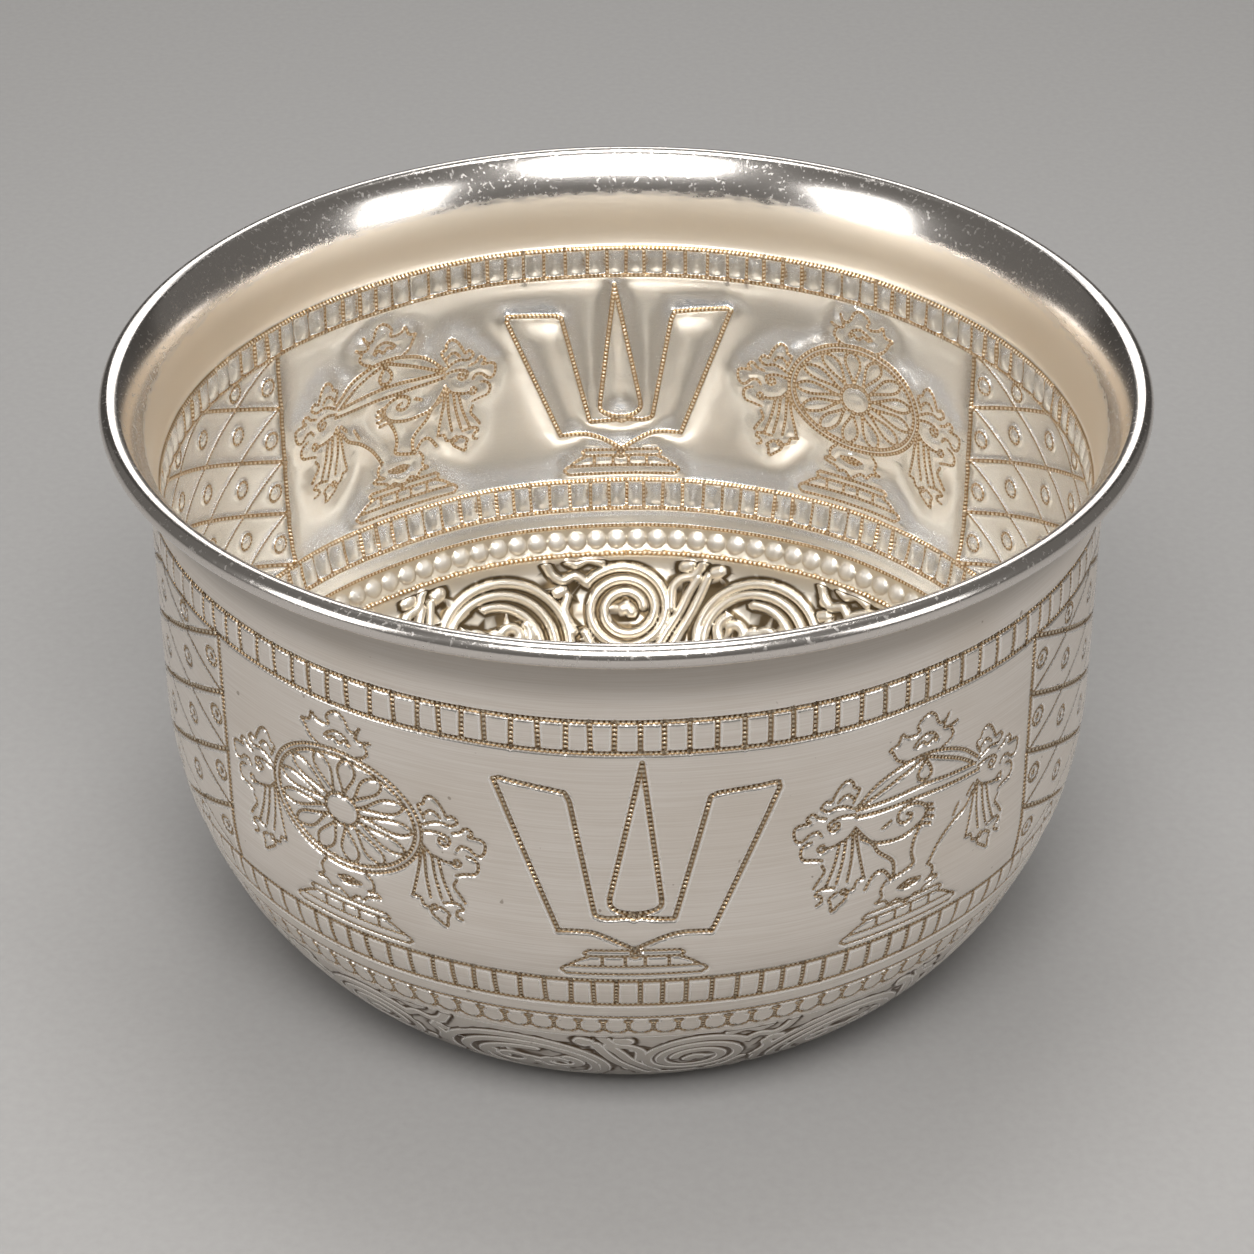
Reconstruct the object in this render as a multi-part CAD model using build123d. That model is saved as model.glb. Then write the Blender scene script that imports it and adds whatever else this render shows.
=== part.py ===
"""Offering bowl raised from one silver sheet, its flared lip rolled over a stiffening wire.

The sheet is chased: borders, scrolls, emblems and lattice stand out on the inside, and the scrolls are
sunk as shallow troughs on the outside. Finer lines are left out.

Millimetres. The origin is the centre of the flat base, on the surface that the bowl stands on,
and +Z points up along the bowl's axis. The front emblem panel faces -Y.
"""
from build123d import *
from math import acos, atan, atan2, cos, degrees, pi, radians, sin, sqrt
import os

# Overall form, measured on the outer face of the sheet
bowl_height = 68.0
wall_radius = 50.6
base_radius = 29.8
corner_radius = 11.9
belly_radius = 41.5

# Sheet, rolled lip and the wire inside it
sheet_thickness = 0.6
rim_flare = 4.4
flare_height = 8.0
rim_wire_diameter = 1.2
rim_wire_clearance = 0.03
lip_gap = 0.25

# Chased relief: how far it stands out inside, and how deep the scrolls are sunk outside
relief_height = 0.7
trough_depth = 0.35

# Borders, one below the flare and two round the belly, each by the height of its top edge
upper_border_top = 57.0
lower_border_top = 25.2
border_width = 3.6
pearl_band_top = 19.3
pearl_band_width = 3.2

# Scrolls on the belly: a wide and a narrow one in turn, each where the sheet has this slope in degrees
scroll_pairs = 8
scroll_crowding = 4.0
vine_width = 1.5
vine_pitch = 2.8
wide_scroll_radius = 8.0
wide_scroll_slope = 51.5
narrow_scroll_radius = 5.4
narrow_scroll_slope = 56.1

# Emblem panels at the front and back, lattice panels at the sides
panel_edge = 54.0
panel_margin = 0.6
rib_width = 1.3
wheel_place = -30.1
mark_place = 0.6
conch_place = 31.0
wheel_width, wheel_height, wheel_level = 18.5, 13.9, 15.6
wheel_petals = 13
petal_length, petal_width = 3.4, 1.5
hub_diameter = 3.4
lattice_rows = 4

# Belly: an arc tangent to the straight wall above it and to the corner arc below it
belly_x = wall_radius - belly_radius
belly_z = corner_radius + sqrt((belly_radius - corner_radius) ** 2 - (belly_x - base_radius) ** 2)
corner_turn = degrees(atan2(base_radius - belly_x, belly_z - corner_radius))
right_angle = 90.0
half_turn = 180.0

# Lip: the outer face of the sheet lies against the wire, with a running clearance
wall_top = bowl_height - flare_height
curl_radius = rim_wire_diameter / 2 + rim_wire_clearance
bead_radius = curl_radius + sheet_thickness
bead_x = wall_radius + rim_flare - bead_radius
bead_z = bowl_height - bead_radius

# Flare: an arc from the top of the wall, tangent to the curl round the wire
flare_reach = bead_x - wall_radius - curl_radius
flare_rise = bead_z - wall_top
flare_turn = 2 * degrees(atan(flare_reach / flare_rise))
flare_offset = flare_rise / sin(radians(flare_turn))
flare_radius = flare_offset + curl_radius
flare_x = wall_radius + flare_radius

# Curl: it stops where its cut edge comes within the lip gap of the flare's outer face
edge_reach = flare_radius - lip_gap
edge_cosine = (edge_reach**2 - bead_radius**2 - flare_offset**2) / (2 * bead_radius * flare_offset)
curl_turn = 2 * half_turn - degrees(acos(edge_cosine))

# Panels: they fill the wall between the upper and the lower border
panel_height = upper_border_top - border_width - lower_border_top
lattice_half = wall_radius * sin(radians(right_angle - panel_edge)) - 2 * rib_width
prism_reach = belly_radius / 2


def body_face(depth):
    """Edges of the sheet's face from the axis to the top of the wall, depth mm into the sheet."""
    base = Line((0, depth), (base_radius, depth))
    corner = CenterArc((base_radius, corner_radius), corner_radius - depth, -right_angle, corner_turn)
    belly = CenterArc(
        (belly_x, belly_z), belly_radius - depth, corner_turn - right_angle, right_angle - corner_turn
    )
    wall = Line((wall_radius - depth, belly_z), (wall_radius - depth, wall_top))
    return [base, corner, belly, wall]


def lip_face(depth):
    """Edges of the sheet's face from the top of the wall to the lip's cut edge."""
    flare = CenterArc((flare_x, wall_top), flare_radius + depth, half_turn, -flare_turn)
    curl = CenterArc((bead_x, bead_z), curl_radius + depth, half_turn - flare_turn, -curl_turn)
    return [flare, curl]


def layer(low_depth, high_depth):
    """The space between two depths of the sheet, from the axis up to the top of the wall."""
    low, high = body_face(low_depth), body_face(high_depth)
    axis_edge = Line(low[0] @ 0, high[0] @ 0)
    top_edge = Line(low[-1] @ 1, high[-1] @ 1)
    return revolve(Plane.XZ * make_face([*low, top_edge, *high, axis_edge]), Axis.Z)


def wall_plane(angle):
    """The upright plane that touches the wall, angle degrees round from the front, at the panels' foot."""
    a = radians(angle)
    foot = (wall_radius * sin(a), -wall_radius * cos(a), lower_border_top)
    return Plane(origin=foot, x_dir=(cos(a), sin(a), 0), z_dir=(sin(a), -cos(a), 0))


def belly_plane(angle, slope):
    """The plane that touches the belly, angle degrees round from the front, where it has that slope."""
    a, s = radians(angle), radians(slope)
    r, z = belly_x + belly_radius * sin(s), belly_z - belly_radius * cos(s)
    out = (sin(s) * sin(a), -sin(s) * cos(a), -cos(s))
    return Plane(origin=(r * sin(a), -r * cos(a), z), x_dir=(cos(a), sin(a), 0), z_dir=out)


def pressed(plane, drawing):
    """A drawing on a plane, as a prism through the sheet towards the inside of the bowl."""
    prisms = extrude(plane * drawing, amount=-prism_reach)
    return prisms + extrude(plane * drawing, amount=relief_height)


def border(top, width):
    """A slab that takes a level band out of a layer."""
    return Pos(0, 0, top - width / 2) * Cylinder(wall_radius, width)


def scroll(radius):
    """A vine that winds in by half turns, each drawn about one of two centres."""
    drawing = Sketch()
    half_turns = int((radius - vine_width) / (vine_pitch / 2))
    for k in range(half_turns):
        r = radius - k * vine_pitch / 2
        side = 1 if k % 2 == 0 else -1
        ring = Circle(r + vine_width / 2) - Circle(r - vine_width / 2)
        half = Pos(0, side * radius) * Rectangle(4 * radius, 2 * radius)
        drawing += Pos((k % 2) * vine_pitch / 2, 0) * (ring & half)
    return drawing


def scroll_turn(place):
    """Degrees round from the front of a scroll, given mm along the wall; they crowd towards the front."""
    turn = place / wall_radius
    return degrees(turn + scroll_crowding / wall_radius * (1 + cos(turn)))


def rib(start, end, overrun=0.0):
    """A straight rib between two points of a drawing."""
    across, up = end[0] - start[0], end[1] - start[1]
    middle = Pos((start[0] + end[0]) / 2, (start[1] + end[1]) / 2)
    bar = Rectangle(sqrt(across**2 + up**2) + 2 * overrun, rib_width)
    return middle * Rot(0, 0, degrees(atan2(up, across))) * bar


def ribs(points):
    """Ribs along a chain of points, with round corners."""
    drawing = Sketch()
    for start, end in zip(points, points[1:]):
        drawing += rib(start, end)
        drawing += Pos(*end) * Circle(rib_width / 2)
    return drawing


def outline(*points):
    """A flat shape with straight sides."""
    return make_face(Polyline(*points, close=True))


def wing():
    """A flaming plume with a tassel under it, drawn to the right of the emblem that it flanks."""
    plume = outline(
        (-0.4, -2.2), (-0.4, 3.3), (1.1, 4.8), (3.5, 2.8), (5.2, 1.6), (6.8, 0.3), (5.9, -3.2), (3.7, -4.3),
        (1.7, -3.4),
    )
    tassel = outline((-0.2, -1.8), (1.9, -2.8), (3.2, -7.7), (2.4, -10.9), (0.6, -9.2), (-1.3, -7.9))
    return plume + tassel


def pedestal():
    """A stepped pedestal at the foot of each emblem."""
    return outline(
        (-7.3, 0.8), (7.3, 0.8), (7.3, 2.3), (5.0, 3.0), (5.0, 4.5), (-5.0, 4.5), (-5.0, 3.0), (-7.3, 2.3)
    )


def seat():
    """The open lotus under the wheel and the conch."""
    return outline((-2.6, 1.8), (-3.6, -0.6), (-1.1, -1.3), (0.3, -2.6), (2.0, -1.5), (4.0, -0.4), (2.7, 1.9))


def crest():
    """The crown on top of the wheel and the conch."""
    return outline((-3.2, -0.6), (-4.4, 2.2), (-0.9, 4.4), (0.1, 4.9), (1.1, 4.2), (3.7, 2.3), (3.0, -0.6))


def wheel():
    """A rim, a hub and petals between them, with crest, wings, seat and pedestal."""
    half_width, half_height = wheel_width / 2, wheel_height / 2
    rim = Ellipse(half_width, half_height) - Ellipse(half_width - rib_width, half_height - rib_width)
    disc = rim + Circle(hub_diameter / 2)
    petal_reach = (hub_diameter / 2 + half_height - rib_width) / 2 / half_height
    for k in range(wheel_petals):
        a = 2 * pi * k / wheel_petals
        x, y = petal_reach * half_width * cos(a), petal_reach * half_height * sin(a)
        disc += Pos(x, y) * Rot(0, 0, degrees(atan2(y, x))) * Ellipse(petal_length / 2, petal_width / 2)
    drawing = Pos(0, wheel_level) * disc + Pos(0, wheel_level + half_height) * crest()
    flank = Pos(half_width, wheel_level) * wing()
    return drawing + flank + mirror(flank, Plane.YZ) + Pos(0, 6.6) * seat() + pedestal()


def forehead_mark():
    """Two arms joined at the foot, and a drop between them, on a pedestal."""
    left = ribs([(0, 8.6), (-3.9, 8.6), (-6.4, 23.4), (-13.8, 24.5), (-7.5, 6.7), (0, 4.5)])
    right = ribs([(0, 8.6), (4.0, 8.4), (7.5, 23.1), (14.6, 23.7), (7.7, 6.5), (0, 4.5)])
    drop = ribs([(0.8, 27.0), (-2.4, 11.4), (0.1, 9.9), (2.7, 11.2), (0.8, 27.0)])
    return left + right + drop + pedestal()


def conch():
    """A lidded conch, with crest, wings, seat and pedestal."""
    lid = ThreePointArc((7.8, 18.0), (0.2, 21.8), (-7.8, 18.0))
    body = Polyline(
        (-7.8, 18.0), (-7.8, 15.6), (-5.6, 13.0), (-3.2, 9.6), (-3.3, 7.4), (1.4, 7.4), (4.5, 11.7), (7.3, 14.1),
        (7.8, 18.0),
    )
    drawing = make_face([lid, body]) + Pos(0.4, 21.6) * crest()
    drawing += Pos(7.8, 16.7) * wing() + mirror(Pos(7.8, 17.2) * wing(), Plane.YZ)
    return drawing + Pos(-1.4, 6.0) * seat() + Pos(-1.4, 0) * pedestal()


def lattice():
    """Two families of slanting ribs that cross to form diamonds."""
    drawing = Sketch()
    row = panel_height / lattice_rows
    for k in range(1 - lattice_rows, lattice_rows):
        low, high = row * k, row * k + panel_height
        drawing += rib((-lattice_half, low), (lattice_half, high), rib_width)
        drawing += rib((lattice_half, low), (-lattice_half, high), rib_width)
    window = Rectangle(2 * lattice_half, panel_height - 2 * panel_margin)
    return drawing & Pos(0, panel_height / 2) * window


def emblem_prisms():
    """The emblems, panel edges and lattices of all four panels, as prisms through the wall."""
    prisms = []
    edge = Pos(0, panel_height / 2) * Rectangle(rib_width, panel_height - 2 * panel_margin)
    emblems = ((wheel_place, wheel()), (mark_place, forehead_mark()), (conch_place, conch()))
    for panel in (0, half_turn):
        prisms += [
            pressed(wall_plane(panel + degrees(place / wall_radius)), drawing) for place, drawing in emblems
        ]
        prisms += [pressed(wall_plane(panel + side * panel_edge), edge) for side in (-1, 1)]
    return prisms + [pressed(wall_plane(side * right_angle), lattice()) for side in (-1, 1)]


def scroll_prisms():
    """All scrolls, as prisms through the belly."""
    prisms = []
    pair_width = 2 * pi * wall_radius / scroll_pairs
    wide, narrow = scroll(wide_scroll_radius), scroll(narrow_scroll_radius)
    for k in range(scroll_pairs):
        prisms.append(pressed(belly_plane(scroll_turn((k - 0.5) * pair_width), wide_scroll_slope), wide))
        prisms.append(pressed(belly_plane(scroll_turn(k * pair_width), narrow_scroll_slope), narrow))
    return prisms


def plain_shell():
    """The raised sheet before chasing: flat base, rounded belly, upright wall, flare and rolled lip."""
    outer = body_face(0) + lip_face(0)
    inner = body_face(sheet_thickness) + lip_face(sheet_thickness)
    axis_edge = Line((0, 0), (0, sheet_thickness))
    cut_edge = Line(outer[-1] @ 1, inner[-1] @ 1)
    section = make_face([*outer, cut_edge, *inner, axis_edge])
    return revolve(Plane.XZ * section, Axis.Z)


def bowl_shell():
    """The chased sheet, with its relief inside and the troughs of its scrolls outside."""
    inside = layer(sheet_thickness / 2, sheet_thickness + relief_height)
    outside = layer(-relief_height, trough_depth)
    borders = [
        border(upper_border_top, border_width), border(lower_border_top, border_width),
        border(pearl_band_top, pearl_band_width),
    ]
    scrolls = scroll_prisms()
    relief = [inside & prism for prism in (*borders, *emblem_prisms(), *scrolls)]
    troughs = [outside & prism for prism in scrolls]
    return plain_shell() + relief - troughs


def rim_wire():
    """The round wire that the lip is rolled over."""
    return Pos(0, 0, bead_z) * Torus(bead_x, rim_wire_diameter / 2)


os.makedirs("parts", exist_ok=True)
for node, solid in {"bowl_shell": bowl_shell(), "rim_wire": rim_wire()}.items():
    export_step(solid, f"parts/{node}.step")
    box = solid.bounding_box().size
    print(f"{node}: {box.X:.2f} x {box.Y:.2f} x {box.Z:.2f} mm, {solid.volume:.1f} mm3")
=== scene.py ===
# %% [markdown]
# # A chased silver offering bowl
# The real bowl is one disc of silver. A silversmith draws on the flat disc, raises it into a bowl with a
# hammer, and chases every line from the outside with a small toothed punch. So each line is a dotted
# groove outside and a beaded ridge inside. This lesson follows the same order: load the frame, set up the
# studio, draw the lines, cut the flat blank finely where the lines run, and raise it.

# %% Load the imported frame
import math
import bpy
import numpy as np
from mathutils import Matrix, Vector, kdtree


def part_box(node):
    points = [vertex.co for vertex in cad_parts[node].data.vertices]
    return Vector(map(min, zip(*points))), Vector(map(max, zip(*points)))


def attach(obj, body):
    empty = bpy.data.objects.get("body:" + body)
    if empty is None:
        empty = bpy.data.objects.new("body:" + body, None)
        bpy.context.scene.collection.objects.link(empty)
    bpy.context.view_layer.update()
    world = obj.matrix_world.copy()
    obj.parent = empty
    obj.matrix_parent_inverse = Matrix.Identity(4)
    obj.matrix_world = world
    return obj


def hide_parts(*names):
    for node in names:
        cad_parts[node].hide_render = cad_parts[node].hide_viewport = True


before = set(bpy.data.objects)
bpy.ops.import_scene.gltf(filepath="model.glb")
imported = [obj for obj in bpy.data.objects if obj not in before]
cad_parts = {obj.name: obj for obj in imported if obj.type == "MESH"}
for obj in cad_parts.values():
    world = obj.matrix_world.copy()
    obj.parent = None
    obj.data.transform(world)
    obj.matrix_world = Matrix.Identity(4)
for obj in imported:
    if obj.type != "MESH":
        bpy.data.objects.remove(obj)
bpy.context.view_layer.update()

MM = 0.001
low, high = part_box("bowl_shell")
rim_radius = (high.x - low.x) / 2 / MM
bowl_height = high.z / MM
print(f"frame: rim radius {rim_radius:.2f} mm, height {bowl_height:.2f} mm")

# %% [markdown]
# ## Camera
# The photograph was taken from the front, about 33 degrees down, with a lens of about 95 mm on a full
# frame. The camera's place was solved from the ellipses of the rim and of the chased rings, so it is
# written as a direction and a distance from the middle of the rim, and the aim as its own pitch and roll.

# %% Set the camera
photo_pixels = 1254
focal_pixels = 3306
sensor_width = 36.0
camera_distance = 348.4
camera_elevation = math.radians(28.60)
camera_pitch = math.radians(32.98)
camera_roll = math.radians(-0.215)
bead_half = 1.2
rim_level = bowl_height - bead_half

camera_data = bpy.data.cameras.new("camera")
camera_data.sensor_width = sensor_width
camera_data.lens = sensor_width * focal_pixels / photo_pixels
camera_data.clip_start = 0.01
camera = bpy.data.objects.new("camera", camera_data)
bpy.context.scene.collection.objects.link(camera)
ahead = Vector((0, math.cos(camera_pitch), -math.sin(camera_pitch)))
level_right = Vector((1, 0, 0))
level_up = level_right.cross(ahead)
right = math.cos(camera_roll) * level_right + math.sin(camera_roll) * level_up
up = math.cos(camera_roll) * level_up - math.sin(camera_roll) * level_right
turn = Matrix((right, up, -ahead)).transposed().to_4x4()
place = Vector((
    0,
    -camera_distance * math.cos(camera_elevation),
    camera_distance * math.sin(camera_elevation) + rim_level,
)) * MM
camera.matrix_world = Matrix.Translation(place) @ turn
bpy.context.scene.camera = camera
print(f"camera: {camera_data.lens:.1f} mm lens at {tuple(round(v, 3) for v in place)} m")

# %% [markdown]
# ## One function for colours and one for nodes
# A colour is written as the sRGB hex value that a paint program shows, and Blender's sockets want linear
# light, so one function converts it. Every shader node is added by one small function too: it takes the
# node's type, its settings, and a value or a link for each input that is not left at its default.

# %% Colours and nodes
def linear(hex_colour):
    """Linear RGBA of an sRGB hex colour such as D8D0C4."""
    srgb = [int(hex_colour[i:i + 2], 16) / 255 for i in (0, 2, 4)]
    return [c / 12.92 if c <= 0.04045 else ((c + 0.055) / 1.055) ** 2.4 for c in srgb] + [1.0]


def node(tree, kind, inputs=(), **settings):
    """Adds one node. Inputs map a socket to a value, or to the node or output that feeds it."""
    made = tree.nodes.new("ShaderNode" + kind)
    for name, value in settings.items():
        setattr(made, name, value)
    for socket, value in dict(inputs).items():
        if isinstance(value, bpy.types.Node):
            value = value.outputs[0]
        if isinstance(value, bpy.types.NodeSocket):
            tree.links.new(value, made.inputs[socket])
        else:
            made.inputs[socket].default_value = value
    return made


def new_material(name):
    """An empty node material, and the tree to fill."""
    material = bpy.data.materials.new(name)
    material.use_nodes = True
    material.node_tree.nodes.clear()
    return material, material.node_tree


# %% [markdown]
# ## The studio
# A matt pale floor sweeps up behind the bowl into a backdrop, so the metal has one plain thing to
# reflect. Silver shows its surroundings, so the light is a few large soft panels with darker gaps between
# them: the main one in front and above, one overhead, a long one high at the back that lights the rim,
# and a weak one from each side.

# %% Floor, backdrop and light
floor_half, floor_back, sweep_radius, backdrop_top = 1.6, 1.1, 0.5, 1.6
bpy.ops.object.select_all(action="DESELECT")
bpy.ops.mesh.primitive_plane_add(size=1)
floor = bpy.context.object
floor.name = "studio_floor"
floor.data.transform(Matrix.Diagonal((2 * floor_half, 2 * floor_back, 1, 1)))
bpy.ops.object.mode_set(mode="EDIT")
bpy.ops.mesh.select_all(action="DESELECT")
bpy.ops.object.mode_set(mode="OBJECT")
for edge in floor.data.edges:
    edge.select = all(floor.data.vertices[v].co.y > 0 for v in edge.vertices)
bpy.context.tool_settings.mesh_select_mode = (False, True, False)
bpy.ops.object.mode_set(mode="EDIT")
bpy.ops.mesh.spin(
    steps=12, angle=math.radians(-90), center=(0, floor_back, sweep_radius), axis=(1, 0, 0), dupli=False
)
bpy.ops.mesh.extrude_edges_move(TRANSFORM_OT_translate={"value": (0, 0, backdrop_top)})
bpy.ops.object.mode_set(mode="OBJECT")
floor.data.shade_smooth()

# Matt pale paper: even and grainless from a step away, with a faint mottle of its fibres.
floor_paint, tree = new_material("matt pale paper")
fibre_size = 1.1 * MM
coords = node(tree, "TexCoord")
mottle = node(tree, "TexNoise", {"Vector": coords.outputs["Object"], "Scale": 1 / fibre_size, "Detail": 3.0})
paper = node(tree, "MixRGB", {0: mottle.outputs[0], 1: linear("949290"), 2: linear("9E9C9A")})
shader = node(tree, "BsdfPrincipled", {"Base Color": paper, "Roughness": 0.9})
node(tree, "OutputMaterial", {"Surface": shader})
floor.data.materials.append(floor_paint)


def soft_panel(name, place, aim, width, height, watts):
    """A rectangular soft light at a place, turned towards a point."""
    data = bpy.data.lights.new(name, "AREA")
    data.shape, data.size, data.size_y, data.energy = "RECTANGLE", width, height, watts
    panel = bpy.data.objects.new(name, data)
    bpy.context.scene.collection.objects.link(panel)
    panel.location = place
    panel.rotation_euler = (Vector(aim) - Vector(place)).to_track_quat("-Z", "Y").to_euler()
    return panel


bowl_middle = (0, 0, 0.03)
soft_panel("front_panel_light", (0.0, -0.42, 0.55), bowl_middle, 0.36, 0.24, 3.9)
soft_panel("overhead_panel", (0.0, 0.08, 0.62), bowl_middle, 0.26, 0.20, 1.6)
soft_panel("back_panel_light", (0.0, 0.80, 0.55), bowl_middle, 0.8, 0.3, 1.8)
soft_panel("left_panel", (-0.65, -0.35, 0.35), bowl_middle, 0.3, 0.4, 1.6)
soft_panel("right_panel", (0.65, -0.40, 0.40), bowl_middle, 0.3, 0.4, 1.2)

world = bpy.data.worlds.new("studio")
bpy.context.scene.world = world
world.use_nodes = True
tree = world.node_tree
tree.nodes.clear()
sky = node(tree, "Background", {"Color": linear("BDBAB6"), "Strength": 0.28})
node(tree, "OutputWorld", {"Surface": sky})
bpy.context.scene.view_settings.view_transform = "Standard"
print("studio: floor, backdrop and 5 soft panels")

# %% [markdown]
# ## The shape of the bowl
# Seen from the side, the outside of the sheet is a short chain: a flat base, a tight corner, a long belly
# arc, an upright wall, a flare, and a curl round the rim wire. Each link is a length and a turn, so any
# point on the sheet is found from one number: how far it lies from the centre of the base, along the
# metal. All sizes below are in millimetres.

# %% Follow the sheet from the centre of the base to the edge of the lip
sheet = 0.6
wall_radius, base_radius, corner_radius, belly_radius = 50.6, 29.8, 11.9, 41.5
flare_height, rim_wire, wire_clearance, lip_gap = 8.0, 1.2, 0.03, 0.25

belly_x = wall_radius - belly_radius
belly_z = corner_radius + math.sqrt((belly_radius - corner_radius) ** 2 - (belly_x - base_radius) ** 2)
corner_turn = math.atan2(base_radius - belly_x, belly_z - corner_radius)
wall_top = bowl_height - flare_height
curl_radius = rim_wire / 2 + wire_clearance
bead_radius = curl_radius + sheet
bead_x = rim_radius - bead_radius
flare_rise = bowl_height - bead_radius - wall_top
flare_turn = 2 * math.atan((bead_x - wall_radius - curl_radius) / flare_rise)
flare_offset = flare_rise / math.sin(flare_turn)
flare_radius = flare_offset + curl_radius
edge_reach = (flare_radius - lip_gap) ** 2 - bead_radius**2 - flare_offset**2
curl_turn = 2 * math.pi - math.acos(edge_reach / (2 * bead_radius * flare_offset))

# Each link: its length along the sheet, its turn, and the radius of its outer face.
links = [
    (base_radius, 0.0, 0.0),
    (corner_radius * corner_turn, corner_turn, corner_radius),
    (belly_radius * (math.pi / 2 - corner_turn), math.pi / 2 - corner_turn, belly_radius),
    (wall_top - belly_z, 0.0, 0.0),
    (flare_radius * flare_turn, -flare_turn, -flare_radius),
    (bead_radius * curl_turn, -curl_turn, -curl_radius),
]
link_starts = np.concatenate([[0.0], np.cumsum([length for length, turn, radius in links])])
flare_start, curl_start, lip_edge = link_starts[4:]


def section(along):
    """Radius, height and heading of the outer face, at distances along the sheet from the centre."""
    along = np.asarray(along, float)
    r, z, heading = (np.zeros_like(along) for _ in range(3))
    at = np.array([0.0, 0.0, 0.0])
    for start, (length, turn, radius) in zip(link_starts, links):
        step = np.clip(along - start, 0, length)
        h = at[2] + turn * step / length
        if turn:
            here_r = at[0] + radius * (np.sin(h) - np.sin(at[2]))
            here_z = at[1] - radius * (np.cos(h) - np.cos(at[2]))
        else:
            here_r, here_z = at[0] + step * np.cos(h), at[1] + step * np.sin(h)
        on = along >= start
        r, z, heading = np.where(on, here_r, r), np.where(on, here_z, z), np.where(on, h, heading)
        end = at[2] + turn
        if turn:
            moved_r = radius * (math.sin(end) - math.sin(at[2]))
            moved_z = -radius * (math.cos(end) - math.cos(at[2]))
            at = at + [moved_r, moved_z, turn]
        else:
            at = at + [length * math.cos(end), length * math.sin(end), 0.0]
    return r, z, heading


def raised(angle, along):
    """Points in mm on the outer face, and their outward normals. Angle 0 is the front, towards -Y."""
    r, z, heading = section(along)
    out_r, out_z = np.sin(heading), -np.cos(heading)
    s, c = np.sin(angle), np.cos(angle)
    return np.column_stack([r * s, -r * c, z]), np.column_stack([out_r * s, -out_r * c, out_z])


print(f"sheet: {lip_edge:.1f} mm from the centre of the base to the edge of the lip")

# %% [markdown]
# ## Where the bands lie
# Two ladder borders run round the wall, with four panels between them: two with emblems, at the front
# and the back, and two with a lattice of diamonds at the sides. Below the lower ladder come a plain band
# and a row of pearls, then vines down to the base, and a flower on the floor. The bands are measured
# along the sheet from the centre of the base. The panels are drawn in millimetres, x along the wall and y
# up from the lower ladder, so a small function takes a panel's drawing to an angle and a distance.

# %% Bands and panel coordinates
ladder_top, ladder_top_foot = 96.0, 92.4
ladder_low, ladder_low_foot = 64.2, 60.4
pearl_top, pearl_foot = 58.1, 54.5
vine_foot = 31.0
panel_edge = math.radians(54)
front, right_side, back, left_side = 0.0, math.pi / 2, math.pi, 1.5 * math.pi
panel_height = ladder_top_foot - ladder_low
bold, middling, fine = (1.0, 0.90), (0.88, 0.72), (0.76, 0.58)
least_width = 0.66
strokes = []
print(f"panels: {panel_height:.1f} mm high between the ladders")


def on_sheet(points, centre):
    """Panel millimetres to (angle, distance along the sheet)."""
    points = np.asarray(points, float)
    return np.column_stack([centre + points[:, 0] / wall_radius, ladder_low + points[:, 1]])


def chase(line, outside=1.0, width=1.0, inside=None, pitch=0.52):
    """Adds one chased line, given as (angle, distance along the sheet) points.

    Outside is the share of the usual groove's depth, inside the share of the usual ridge's height (as
    much as outside, unless given), width the share of the usual width, and pitch the distance between
    the punch's tooth marks in mm.
    """
    inside = outside if inside is None else inside
    strokes.append((np.asarray(line, float), outside, width, inside, pitch))


def bend(points, steps=6):
    """A smooth line through a few given points (a Catmull-Rom curve)."""
    p = np.asarray(points, float)
    p = np.vstack([2 * p[0] - p[1], p, 2 * p[-1] - p[-2]])
    t = np.linspace(0, 1, steps, endpoint=False)[:, None]
    spans = [
        b + 0.5 * ((c - a) * t + (2 * a - 5 * b + 4 * c - d) * t**2 + (3 * b - a - 3 * c + d) * t**3)
        for a, b, c, d in zip(p, p[1:], p[2:], p[3:])
    ]
    return np.vstack([*spans, p[-2:-1]])


def oval(x, y, rx, ry, steps=48):
    """A closed oval."""
    a = np.linspace(0, 2 * math.pi, steps + 1)
    return np.column_stack([x + rx * np.cos(a), y + ry * np.sin(a)])


def placed(line, x, y, side=1):
    """A line moved to a place, mirrored left to right where side is -1."""
    line = np.asarray(line, float)
    return np.column_stack([x + side * line[:, 0], y + line[:, 1]])


# %% [markdown]
# ## Emblems
# Each emblem panel has three traditional emblems: a wheel on the left, a forehead mark in the middle and
# a conch on the right, each on a stepped pedestal. The wheel and the conch carry the same plumes, tassels
# and lotus seat, so those are drawn once and placed several times. The hub of the wheel and the tips of the
# mark's arms are pressed without a line: each spot is a place, two half widths, and its height inside and
# outside.

# %% Plumes, tassels, seats and pedestals
def curl(x, y, radius, start, sweep=285):
    """A small hooked curl: an open circle that tightens, from a start angle in degrees."""
    t = np.linspace(0, 1, 14)
    a = np.radians(start + sweep * t)
    r = radius * (1 - 0.45 * t)
    return np.column_stack([x + r * np.cos(a), y + r * np.sin(a)])


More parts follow.
